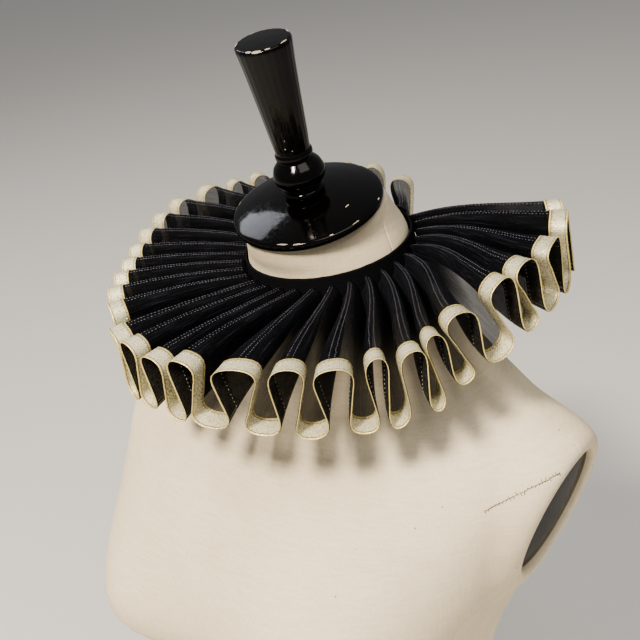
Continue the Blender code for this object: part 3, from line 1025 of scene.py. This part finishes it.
@dataclass
class EdgeRibbon:
    """The metallic ribbon on the strip's outer edge, with the stitches that hold it."""

    strip: PleatedStrip
    wall: float = 0.36 * MM
    lift: float = 0.42 * MM             # from the middle of the organza
    proud: float = 0.6 * MM             # how far it stands past the organza's edge
    width: float = 10.6 * MM
    steps_per_wall: int = 16
    rows: int = 10
    selvedge: float = 0.16 * MM         # how much thicker the corded edges stand
    selvedge_width: float = 1.0 * MM
    flat_length: float = 3.3            # too short: the folds' outer edge measures 3.68
    bar: tuple[float, float, float] = (1.5 * MM, 0.4 * MM, 0.34 * MM)
    dash: tuple[float, float, float] = (1.5 * MM, 0.5 * MM, 0.42 * MM)
    bar_pitch: float = 2.3 * MM
    bar_inset: float = 1.9 * MM         # from the ribbon's inner edge
    bar_lift: float = 0.1 * MM
    dash_drop: float = 0.27 * MM        # under the middle of the organza
    ends_free: tuple[float, float] = (0.04, 0.03)   # in walls, at the strip's two ends
    stride: float = 0.01                # in walls, as the pitch is paced out

    def place(self, along: float, across: float, lift: float = 0.0) -> Vector:
        """The ribbon's point, from shares along it and across it.

        Args:
            along: 0 to 1 along the strip.
            across: 0 at the inner edge, 1 at the outer edge.
            lift: a further distance above the upper face.

        Returns:
            The point in the collar's plane.
        """
        at = along * self.strip.walls
        out = 1.0 + (self.proud - self.width * (1.0 - across)) / STRIP_RUN
        edge = min(out, 1.0)
        from_edge = min(across, 1.0 - across) * self.width
        cord = self.selvedge * smooth_step(self.selvedge_width, 0.4 * MM, from_edge)
        spot = (self.strip.point(at, edge)
                + self.strip.normal(at, edge) * (self.lift + cord + lift))
        past = out - edge
        if past > 0.0:
            spot += (self.strip.smooth_point(at, 1.0) - self.strip.smooth_point(at, 0.97)
                     ) * (past / 0.03)
        return spot

    def build(self) -> bpy.types.Object:
        """Build the ribbon and its stitches.

        Returns:
            The ribbon.
        """
        bm = bmesh.new()
        lay_cloth(bm, self.strip.walls * self.steps_per_wall, self.rows,
                  (self.flat_length, self.width), self.place)
        bm.transform(self.strip.plane.matrix())
        look = MetalRibbon(width=self.width).build()
        piece = finish_piece("champagne_edge_ribbon", bm, look, Slot.RIBBON, ["edge_ribbon"],
                             outwards=False)
        thicken(piece, self.wall)
        upper, under = self._stitches()
        return piece

    def _stitches(self) -> tuple[bpy.types.Object, bpy.types.Object]:
        """Sew bars over the ribbon's inner edge, and the dashes that they leave underneath.

        Returns:
            The upper stitches and the ones underneath.
        """
        upper, under = Sewing(11), Sewing(12)
        draw = upper.draw
        inset = self.bar_inset / self.width
        at = self.ends_free[0]
        last, gone = self.place(at / self.strip.walls, inset), 0.0
        while at < self.strip.walls - self.ends_free[1]:
            at += self.stride
            here = self.place(at / self.strip.walls, inset)
            gone += (here - last).length
            run, last = here - last, here
            if gone < self.bar_pitch:
                continue
            gone = draw.uniform(-0.3, 0.3) * MM
            out = 1.0 + (self.proud - self.width * (1.0 - inset)) / STRIP_RUN
            normal = self.strip.normal(at, out)
            inward = run.cross(normal)
            slanted = inward.normalized() + run.normalized() * draw.uniform(0.1, 0.5)
            upper.stitch(here + normal * (self.wall / 2 + self.bar_lift), slanted, normal,
                         (self.bar[0] * draw.uniform(0.7, 1.1), self.bar[1], self.bar[2]))
            below = self.strip.point(at, out, -self.dash_drop)
            under.stitch(below, run, normal,
                         (self.dash[0] * draw.uniform(0.6, 0.85), self.dash[1], self.dash[2]))
        meshes = [sewing.put_away() for sewing in (upper, under)]
        for bm in meshes:
            bm.transform(self.strip.plane.matrix())
        grey = Thread("olive_grey_sewing_thread", "#8a836a", "#4a4534").build()
        pale = Thread("ivory_sewing_thread", "#f4f0e4", "#a39c84").build()
        return (finish_piece("ribbon_stitches_upper", meshes[0], grey, Slot.RIBBON),
                finish_piece("ribbon_stitches_under", meshes[1], pale, Slot.RIBBON))


@dataclass
class Neckband:
    """The ribbed band that the strip is sewn to, with its furred upper edge."""

    plane: CollarPlane
    wall: float = 0.9 * MM
    columns: int = 520
    rows: int = 12
    ripple: float = 0.25 * MM           # the upper edge is a little uneven,
    ripples: float = 60.0               # this many times round
    rib_pitch: float = 1.3 * MM
    rib_depth: float = 0.08 * MM
    hairs: int = 620
    hair: tuple[float, float] = (1.3 * MM, 0.07 * MM)   # length, and radius at the root

    @property
    def length(self) -> float:
        """The band's length round the neck."""
        return (self.plane.band_top + self.plane.band_bottom) * (math.pi - self.plane.gap / 2)

    def place(self, along: float, across: float) -> Vector:
        """The band's point, from shares along it and down it."""
        plane = self.plane
        azimuth = plane.opening + plane.gap / 2 + (2 * math.pi - plane.gap) * along
        depth = -plane.band_width * across
        rib = self.rib_depth * math.cos(2 * math.pi * along * self.length / self.rib_pitch)
        wave = self.ripple * noise.noise(Vector((along * self.ripples, 0.0, 5.0)))
        return plane.polar(azimuth, plane.band_radius(depth) + rib,
                           depth + wave * (1.0 - across))

    def build(self) -> bpy.types.Object:
        """Build the band and its loose fibres.

        Returns:
            The band.
        """
        bm = bmesh.new()
        lay_cloth(bm, self.columns, self.rows, (self.length, self.plane.band_width), self.place)
        bm.transform(self.plane.matrix())
        look = Grosgrain().build()
        piece = finish_piece("neckband_grosgrain", bm, look, Slot.GROSGRAIN, ["neckband"],
                             outwards=False)
        thicken(piece, self.wall)
        fluff = self._fibres()
        return piece

    def _fibres(self) -> bpy.types.Object:
        """Fray the upper edge: short hairs that lean every way."""
        sewing = Sewing(23)
        draw = sewing.draw
        for _ in range(self.hairs):
            root = self.place(draw.random(), draw.uniform(0.0, 0.08))
            outward = Vector((root.x, root.y, 0.0)).normalized()
            lean = (outward * draw.uniform(0.1, 0.9) + Vector((0, 0, 1))
                    + outward.cross(Vector((0, 0, 1))) * draw.uniform(-0.8, 0.8))
            long = self.hair[0] * draw.uniform(0.5, 1.2)
            middle = root + outward * (self.wall / 2) + lean.normalized() * long * 0.4
            sewing.hair(middle, lean, long, self.hair[1])
        bm = sewing.put_away()
        bm.transform(self.plane.matrix())
        thread = Thread("black_cotton_fluff", "#3a3a42", "#0c0c0f")
        return finish_piece("neckband_fibres", bm, thread.build(), Slot.GROSGRAIN)


@dataclass
class Closure:
    """The bar and hook at the band's ends, dressed as they are."""

    nodes: tuple[str, ...] = ("closure_bar", "closure_hook")

    def dress(self) -> None:
        """Give the two closure plates their enamel."""
        look = Enamel().build()
        for name in self.nodes:
            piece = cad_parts[name]
            piece.data.materials.clear()
            piece.data.materials.append(look)
            LOG.info("%s: dressed in enamel", name)


# ------------------------------------------------------------------ the dress form


@dataclass(frozen=True)
class Section:
    """A level of the torso: half its width, and its depth before and behind the neck's axis."""

    height_mm: float
    half_width_mm: float
    front_mm: float
    back_mm: float
    pitch_deg: float
    squareness: float

    def sizes(self) -> tuple[float, ...]:
        """The section's numbers, height first."""
        return (self.height_mm, self.half_width_mm, self.front_mm, self.back_mm, self.pitch_deg,
                self.squareness)


SECTIONS = tuple(Section(*row) for row in (
    (29.6, 47.5, 63.0, 33.0, 12.0, 2.0),     # under the neck cap
    (15.0, 51.0, 60.5, 44.5, 8.5, 2.0),
    (0.0, 56.0, 56.6, 56.0, 5.0, 2.0),       # band, upper edge
    (-13.0, 56.9, 57.3, 57.0, 5.0, 2.0),
    (-21.0, 58.2, 58.5, 58.2, 5.0, 2.0),     # band, lower edge
    (-30.0, 66.5, 63.0, 62.5, 4.0, 2.0),     # neck base
    (-41.0, 84.0, 69.5, 66.0, 2.5, 2.0),
    (-60.0, 106.0, 79.0, 69.0, 1.0, 2.0),
    (-76.0, 128.0, 87.0, 71.0, 0.0, 2.05),
    (-89.0, 148.0, 93.5, 72.0, 0.0, 2.1),
    (-101.0, 165.0, 100.0, 75.0, 0.0, 2.1),   # shoulder
    (-113.0, 178.5, 107.0, 80.5, 0.0, 2.15),
    (-129.0, 184.0, 121.0, 87.5, 0.0, 2.2),
    (-149.0, 180.5, 140.0, 94.0, 0.0, 2.25),
    (-178.0, 172.5, 159.0, 97.0, 0.0, 2.3),
    (-207.0, 163.5, 169.0, 93.5, 0.0, 2.35),
    (-235.0, 153.0, 172.0, 86.0, 0.0, 2.3),  # underarm
    (-265.0, 143.0, 164.0, 78.0, 0.0, 2.25),
    (-300.0, 131.0, 141.0, 71.0, 0.0, 2.15),
    (-350.0, 120.5, 116.0, 68.0, 0.0, 2.1),
    (-395.0, 117.5, 105.0, 69.0, 0.0, 2.1),  # waist
    (-440.0, 126.0, 106.5, 77.0, 0.0, 2.15),
    (-490.0, 145.0, 113.0, 95.0, 0.0, 2.2),
    (-545.0, 162.5, 118.5, 109.5, 0.0, 2.25),
    (-600.0, 171.5, 119.5, 116.0, 0.0, 2.25),  # hip
    (-652.0, 171.0, 116.5, 115.0, 0.0, 2.25),  # underside
))


@dataclass(frozen=True)
class Armhole:
    """An armhole's oval: its plate, and the linen rim round it."""

    centre: tuple[float, float, float] = (0.1745, 0.0020, -0.165)
    tilt: float = math.radians(14.0)
    half_height: float = 50.0 * MM
    half_width: float = 43.0 * MM
    thick: float = 3.0 * MM
    clearance: float = 0.3 * MM
    proud: float = 4.5 * MM             # the rim stands this far out from the plate's face
    reach: float = 1.06                 # the rim's flat ends this many plate radii out,
    blend: float = 0.55                 # and has blended into the torso this much further

    def matrix(self, side: Side) -> Matrix:
        """The plate's matrix: local Z points outwards, local X down."""
        centre = Vector((side.value * self.centre[0], self.centre[1],
                         self.centre[2] + BAND_HEIGHT))
        return (Matrix.Translation(centre)
                @ Matrix.Rotation(side.value * (math.pi / 2 + self.tilt), 4, "Y"))


@dataclass
class Torso:
    """The linen torso: one skin with rolled armholes, seams and hand stitching."""

    hole: Armhole = field(default_factory=Armhole)
    bust_side: float = 95.0 * MM
    bust_below: float = 250.0 * MM
    bust_swell: float = 42.0 * MM
    bust_spread: float = 62.0 * MM
    column_step: float = math.radians(2.0)
    row_step_mm: float = 4.0
    foot_round_mm: float = 3.0
    seam_degs: tuple[float, ...] = (0.0, 90.0, 180.0, 270.0)
    seam_beside_degs: tuple[float, ...] = (0.16, 0.42, 0.9)
    seam_depth: float = 0.45 * MM
    seam_half: float = 0.45 * MM
    flat: tuple[float, float] = (0.95, 0.75)    # girth and height of the linen, roughly
    patch_from: float = 1.19            # the armhole's own rings start this many radii out
    patch_rings: tuple[float, ...] = (1.13, 1.1)
    roll: float = 3.4 * MM
    slit_ends_mm: tuple[tuple[float, ...], ...] = ((160.0, -63.0, -126.0), (189.0, -22.0, -112.0))
    slit_steps: int = 21
    slit_run: tuple[float, float, float] = (2.2 * MM, 0.6 * MM, 0.5 * MM)
    slit_lift: float = 0.12 * MM
    skin: BVHTree | None = None

    def section(self, height: float) -> tuple[float, ...]:
        """Smooth sizes of the torso at a height below the band, in mm.

        Args:
            height: in mm from the band's centre.

        Returns:
            Half width, front, back, pitch and squareness.
        """
        rows = [section.sizes() for section in SECTIONS]
        level = next((k for k in range(len(rows) - 2) if height >= rows[k + 1][0]),
                     len(rows) - 2)
        above, below = rows[level], rows[level + 1]
        before, after = rows[max(level - 1, 0)], rows[min(level + 2, len(rows) - 1)]
        span = below[0] - above[0]
        share = (height - above[0]) / span
        sizes = []
        for k in range(1, len(above)):
            leave = (below[k] - before[k]) / (below[0] - before[0]) * span
            arrive = (after[k] - above[k]) / (after[0] - above[0]) * span
            rest = 1.0 - share
            sizes.append(above[k] * (1 + 2 * share) * rest * rest + leave * share * rest * rest
                         + below[k] * (3 - 2 * share) * share * share
                         - arrive * share * share * rest)
        return tuple(sizes)

    def point(self, turn: float, height: float, inset: float = 0.0) -> Vector:
        """A point of the linen.

        Args:
            turn: round from the front towards +X.
            height: in mm from the band's centre.
            inset: how far the section is drawn in, in mm.

        Returns:
            The point.
        """
        half_width, front, back, pitch, squareness = self.section(height)
        power = 2.0 / squareness
        side, ahead = math.sin(turn), math.cos(turn)
        x = (half_width - inset) * MM * math.copysign(abs(side) ** power, side)
        depth = (front if ahead > 0 else back) - inset
        y = -depth * MM * math.copysign(abs(ahead) ** power, ahead)
        z = height * MM
        if ahead > 0:
            for centre in (-self.bust_side, self.bust_side):
                far = (((x - centre) / self.bust_spread) ** 2
                       + ((z + self.bust_below) / self.bust_spread) ** 2)
                y -= self.bust_swell * math.exp(-far) * min(1.0, 2.5 * ahead)
        z += y * math.tan(math.radians(pitch))
        hole = self.hole
        rise = z - hole.centre[2]
        rim = hole.centre[0] + rise * math.tan(hole.tilt) + hole.proud
        far = math.hypot((y - hole.centre[1]) / hole.half_width, rise / hole.half_height)
        if abs(x) > hole.centre[0] * 0.6:
            near = smooth_step(hole.reach + hole.blend, hole.reach, far)
            x = math.copysign(abs(x) + (rim - abs(x)) * near, x)
        return Vector((x, y, z + BAND_HEIGHT))

    def _levels(self) -> list[tuple[float, float]]:
        """Heights of the rings, top to bottom, each with its inset, both in mm."""
        levels = []
        rows = [section.height_mm for section in SECTIONS]
        for high, low in zip(rows, rows[1:]):
            steps = max(2, math.ceil((high - low) / self.row_step_mm))
            levels += [(high + (low - high) * k / steps, 0.0) for k in range(steps)]
        foot = rows[-1]
        for k in range(7):
            angle = math.pi / 2 * k / 6
            levels.append((foot + self.foot_round_mm * (1 - math.sin(angle)),
                           self.foot_round_mm * (1 - math.cos(angle))))
        return [level for level in levels
                if level[1] > 0.0 or level[0] >= foot + self.foot_round_mm]

    def _turns(self) -> list[float]:
        """Turns of the mesh columns, closer together beside each seam."""
        turns = [k * self.column_step for k in range(round(2 * math.pi / self.column_step))]
        for seam in self.seam_degs:
            for beside in self.seam_beside_degs:
                turns += [math.radians(seam - beside) % (2 * math.pi),
                          math.radians(seam + beside)]
        return sorted(turns) + [2 * math.pi]

    def build(self) -> bpy.types.Object:
        """Build the torso and its stitches.

        Returns:
            The torso.
        """
        levels, turns = self._levels(), self._turns()

        def place(along: float, across: float) -> Vector:
            """The skin's point, pressed in along the seams."""
            turn = turns[round(along * (len(turns) - 1))]
            height, inset = levels[round(across * (len(levels) - 1))]
            spot = self.point(turn, height, inset)
            off = min(abs((math.degrees(turn) - seam + 180.0) % 360.0 - 180.0)
                      for seam in self.seam_degs)
            around = math.radians(off) * Vector((spot.x, spot.y)).length
            press = self.seam_depth * math.exp(-(around / self.seam_half) ** 2)
            inward = Vector((spot.x, spot.y, 0.0)).normalized()
            return spot - inward * press

        bm = bmesh.new()
        lay_cloth(bm, len(turns) - 1, len(levels) - 1, self.flat, place)
        bmesh.ops.remove_doubles(bm, verts=bm.verts, dist=0.01 * MM)
        bm.normal_update()
        self.skin = BVHTree.FromBMesh(bm)
        for side in Side:
            self._roll_armhole(bm, side)
        bmesh.ops.holes_fill(bm, edges=[edge for edge in bm.edges if edge.is_boundary], sides=0)
        piece = finish_piece("linen_torso", bm, Linen().build(), Slot.LINEN, ["dress_form"],
                             smooth_below=math.radians(50))
        self._shoulder_stitches()
        return piece

    def _roll_armhole(self, bm: bmesh.types.BMesh, side: Side) -> None:
        """Cut one armhole and roll the linen over its rim to the plate.

        Args:
            bm: the torso's mesh.
            side: which armhole.
        """
        hole = self.hole
        into = hole.matrix(side)
        back = into.inverted()

        def radii(point: Vector) -> float:
            """Distance from the plate's middle, in plate radii; far for the other side."""
            local = back @ point
            if point.x * side.value < hole.centre[0] / 2:
                return 9.0
            return math.hypot(local.x / hole.half_height, local.y / hole.half_width)

        inside = [face for face in bm.faces if radii(face.calc_center_median()) < self.patch_from]
        bmesh.ops.delete(bm, geom=inside, context="FACES")
        loop = [edge for edge in bm.edges if edge.is_boundary
                and radii((edge.verts[0].co + edge.verts[1].co) / 2) < self.patch_from + 0.2]
        flat = hole.proud * math.cos(hole.tilt)
        rings = [(share, None) for share in self.patch_rings]
        for k in range(7):
            angle = math.pi / 2 * (1 + k / 6)
            rings.append((self.roll * (1 + math.cos(angle)) + hole.clearance,
                          flat + self.roll * (math.sin(angle) - 1)))
        rings.append((hole.clearance, -hole.thick - hole.clearance))
        for reach, height in rings:
            made = bmesh.ops.extrude_edge_only(bm, edges=loop)
            loop = [item for item in made["geom"] if isinstance(item, bmesh.types.BMEdge)]
            for vert in {vert for edge in loop for vert in edge.verts}:
                local = back @ vert.co
                angle = math.atan2(local.y / hole.half_width, local.x / hole.half_height)
                if height is None:
                    spot = Vector((math.cos(angle) * hole.half_height * reach,
                                   math.sin(angle) * hole.half_width * reach, 0.06))
                    hit = self.skin.ray_cast(into @ spot, into.to_3x3() @ Vector((0, 0, -1)))[0]
                    vert.co = hit
                else:
                    vert.co = into @ Vector((math.cos(angle) * (hole.half_height + reach),
                                             math.sin(angle) * (hole.half_width + reach), height))

    def _shoulder_stitches(self) -> None:
        """Close the slit that runs from the chest to each armhole's top with hand stitches."""
        sewing = Sewing(31)
        draw = sewing.draw
        for side in Side:
            start, end = (Vector((side.value * x, y, z)) * MM + Vector((0, 0, BAND_HEIGHT))
                          for x, y, z in self.slit_ends_mm)
            for k in range(self.slit_steps + 1):
                spot, normal = self.skin.find_nearest(start.lerp(end, k / self.slit_steps))[:2]
                if normal.dot(spot - Vector((0, 0, spot.z))) < 0:
                    normal = -normal
                run = (end - start).normalized()
                over = normal.cross(run)
                lift = normal * self.slit_lift
                if k < self.slit_steps:
                    sewing.stitch(spot + run * self.slit_run[0] / 2 + lift, run, normal,
                                  self.slit_run)
                slant = over + run * draw.uniform(-0.5, 0.5)
                sewing.stitch(spot + over * draw.uniform(-0.8, 0.8) * MM + lift, slant, normal,
                              (draw.uniform(1.8, 4.2) * MM, 0.5 * MM, 0.5 * MM))
        thread = Thread("brown_linen_thread", "#5c4833", "#2c2117")
        finish_piece("shoulder_hand_stitches", sewing.put_away(), thread.build(), Slot.LINEN)


@dataclass
class Plates:
    """The lacquered oval in each armhole: slightly domed, with a rounded edge."""

    hole: Armhole = field(default_factory=Armhole)
    profile: tuple[tuple[float, float], ...] = (
        (0.0, 1.1), (0.3, 1.0), (0.55, 0.8), (0.75, 0.45), (0.88, 0.1), (0.95, -0.25),
        (0.985, -0.75), (0.998, -1.5), (1.0, -3.0), (0.0, -3.0))    # share of radius, height mm
    steps: int = 72

    def build(self) -> None:
        """Build both plates."""
        look = Lacquer("black_gloss_lacquered_plate", ripple=16.0 * MM, specular=0.01).build()
        for side in Side:
            bm = bmesh.new()
            ring = [bm.verts.new((share, 0.0, height * MM)) for share, height in self.profile]
            edges = [bm.edges.new(pair) for pair in zip(ring, ring[1:])]
            bmesh.ops.spin(bm, geom=ring + edges, cent=(0, 0, 0), axis=(0, 0, 1),
                           angle=2 * math.pi, steps=self.steps, use_merge=True)
            bmesh.ops.remove_doubles(bm, verts=bm.verts, dist=0.001)
            bm.transform(self.hole.matrix(side) @ Matrix.Diagonal(
                (self.hole.half_height, self.hole.half_width, 1.0, 1.0)))
            label = side.name.lower()
            finish_piece(f"lacquer_plate_{label}", bm, look, Slot.LACQUER,
                         [f"armhole_plate_{label}"])


@dataclass(frozen=True)
class Chip:
    """A flake of lost lacquer: where it lies on the turning, and its size."""

    azimuth_deg: float
    along_mm: float                     # along the profile, from the middle of its top
    length_mm: float
    width_mm: float


@dataclass
class Turning:
    """A turned and lacquered piece on the leaning axis of the neck."""

    name: str
    stands_for: str
    profile: tuple[tuple[float, float], ...]    # radius and height in mm
    ripple: float
    flutes: int = 0
    flute_depth: float = 0.0
    flute_from_mm: float = 0.0
    flute_fade_mm: float = 8.0
    easing: float = 0.33                # of the shorter run beside a corner
    flake: float = 0.14 * MM            # thickness of a chip's primer
    flake_lift: float = 0.03 * MM
    centre: tuple[float, float, float] = (0.0, -0.0170, 0.0331)
    pitch: float = math.radians(12.0)
    steps: int = 96

    def matrix(self) -> Matrix:
        """The turning's matrix: its axis is local Z."""
        return (Matrix.Translation(Vector(self.centre) + Vector((0, 0, BAND_HEIGHT)))
                @ Matrix.Rotation(self.pitch, 4, "X"))

    def rounded(self) -> list[tuple[float, float]]:
        """The profile with its corners eased."""
        points = [Vector((radius, height)) for radius, height in self.profile]
        eased = [points[0]]
        for k in range(1, len(points) - 1):
            before, here, after = points[k - 1], points[k], points[k + 1]
            reach = self.easing * min((here - before).length, (after - here).length)
            start = here + (before - here).normalized() * reach
            end = here + (after - here).normalized() * reach
            eased += [start.lerp(here, share).lerp(here.lerp(end, share), share)
                      for share in (0.0, 0.33, 0.67, 1.0)]
        eased.append(points[-1])
        return [(max(point.x, 0.0), point.y) for point in eased]

    def build(self) -> bpy.types.Object:
        """Spin the profile and dress it.

        Returns:
            The turned piece.
        """
        bm = bmesh.new()
        ring = [bm.verts.new((radius * MM, 0.0, height * MM)) for radius, height in self.rounded()]
        edges = [bm.edges.new(pair) for pair in zip(ring, ring[1:])]
        bmesh.ops.spin(bm, geom=ring + edges, cent=(0, 0, 0), axis=(0, 0, 1), angle=2 * math.pi,
                       steps=self.steps, use_merge=True)
        bmesh.ops.remove_doubles(bm, verts=bm.verts, dist=0.01 * MM)
        if self.flutes:
            for vert in bm.verts:
                if vert.co.z > self.flute_from_mm * MM and vert.co.xy.length > 1.0 * MM:
                    angle = math.atan2(vert.co.y, vert.co.x)
                    fade = smooth_step(self.flute_from_mm, self.flute_from_mm + self.flute_fade_mm,
                                       vert.co.z / MM)
                    share = 1.0 + self.flute_depth * fade * math.cos(self.flutes * angle)
                    vert.co.x *= share
                    vert.co.y *= share
        bm.transform(self.matrix())
        look = Lacquer(f"black_gloss_lacquer_{self.name}", ripple=self.ripple).build()
        return finish_piece(self.name, bm, look, Slot.LACQUER, [self.stands_for],
                            smooth_below=math.radians(60))

    def chip(self, bm: bmesh.types.BMesh, chip: Chip, draw: random.Random) -> None:
        """Lay one flake of bare primer on the turning.

        Args:
            bm: the mesh that holds the flakes.
            chip: where and how large.
            draw: the source of its ragged outline.
        """
        points = [Vector((radius, height)) for radius, height in self.rounded()]
        left = chip.along_mm
        spot, run = points[0], Vector((1.0, 0.0))
        for start, end in zip(points, points[1:]):
            length = (end - start).length
            if left <= length or end is points[-1]:
                run = (end - start).normalized()
                spot = start + run * left
                break
            left -= length
        turn = Matrix.Rotation(math.radians(chip.azimuth_deg) - math.pi / 2, 4, "Z")
        normal = Vector((-run.y, 0.0, run.x))
        if normal.dot(Vector((1.0, 0.0, 0.4))) < 0.0:
            normal.negate()
        along = Vector((run.x, 0.0, run.y))
        frame_here = Matrix((along, normal.cross(along), normal)).transposed().to_4x4()
        place = (turn @ Matrix.Translation(Vector((spot.x, 0.0, spot.y)) * MM
                                           + normal * self.flake_lift) @ frame_here)
        made = bmesh.ops.create_cone(bm, cap_ends=True, segments=11, radius1=1.0, radius2=0.8,
                                     depth=self.flake)
        for vert in made["verts"]:
            ragged = 1.0 + draw.uniform(-0.35, 0.2)
            vert.co.x *= chip.length_mm * MM / 2 * ragged
            vert.co.y *= chip.width_mm * MM / 2 * ragged
        bmesh.ops.transform(bm, matrix=self.matrix() @ place, verts=made["verts"])


@dataclass
class CapAndFinial:
    """The domed neck cap and the turned finial on it, with the chips in their lacquer."""

    cap: Turning = field(default_factory=lambda: Turning(
        "neck_cap_lacquer", "neck_cap",
        ((0.0, 7.4), (10.0, 7.2), (24.0, 5.9), (38.0, 3.4), (47.5, 0.9), (51.0, -0.4),
         (51.6, -3.2), (50.2, -5.8), (47.0, -6.6), (0.0, -6.6)), ripple=22.0 * MM))
    finial: Turning = field(default_factory=lambda: Turning(
        "finial_lacquer", "finial",
        ((0.0, 112.8), (16.4, 112.8), (17.3, 112.2), (17.6, 110.2), (16.0, 96.0), (14.0, 72.0),
         (12.2, 48.0), (11.4, 39.6), (12.4, 38.2), (12.6, 35.6), (10.8, 33.6), (12.2, 32.2),
         (15.8, 28.4), (17.5, 23.4), (17.2, 19.6), (14.6, 15.6), (11.2, 13.6), (14.0, 12.0),
         (14.2, 9.0), (12.5, 7.4), (0.0, 7.8)), ripple=4.0 * MM, flutes=24,
        flute_depth=0.008, flute_from_mm=40.0))
    cap_chips: tuple[Chip, ...] = (
        Chip(20.0, 50.6, 1.2, 9.0), Chip(31.0, 51.2, 0.9, 5.0), Chip(57.0, 50.8, 1.0, 3.5),
        Chip(78.0, 50.9, 0.8, 6.0), Chip(110.0, 51.0, 0.9, 3.0), Chip(172.0, 50.7, 1.0, 4.0),
        Chip(-70.0, 50.9, 0.9, 4.5), Chip(-128.0, 51.1, 1.0, 3.0), Chip(88.0, 36.0, 1.1, 4.2))
    finial_chips: tuple[Chip, ...] = (
        Chip(10.0, 16.6, 1.6, 4.5), Chip(28.0, 16.8, 2.0, 7.5), Chip(52.0, 16.5, 1.4, 4.0),
        Chip(92.0, 16.6, 1.1, 6.0), Chip(150.0, 16.5, 1.2, 5.0), Chip(-60.0, 16.6, 1.3, 6.5),
        Chip(-118.0, 16.6, 1.0, 4.0), Chip(30.0, 78.0, 1.4, 0.8), Chip(24.0, 84.0, 1.0, 1.3),
        Chip(44.0, 86.0, 1.2, 0.9), Chip(-90.0, 62.0, 1.5, 0.9))

    def build(self) -> None:
        """Build the cap, the finial and their chips."""
        self.cap.build()
        self.finial.build()
        bm = bmesh.new()
        draw = random.Random(43)
        for chip in self.cap_chips:
            self.cap.chip(bm, chip, draw)
        for chip in self.finial_chips:
            self.finial.chip(bm, chip, draw)
        finish_piece("lacquer_chips", bm, Plaster().build(), Slot.LACQUER)


# ------------------------------------------------------------------ everything


def main() -> None:
    """Build the studio, the collar and the dress form, and report each piece."""
    logging.basicConfig(level=logging.INFO, format="%(name)s: %(message)s")
    plane = CollarPlane()
    strip = PleatedStrip(plane)
    Studio(target=Vector((0.0, 0.0, plane.height))).build()
    Torso().build()
    Neckband(plane).build()
    Ruffle(strip).build()
    EdgeRibbon(strip).build()
    Closure().dress()
    Plates().build()
    CapAndFinial().build()


if __name__ == "__main__":
    main()
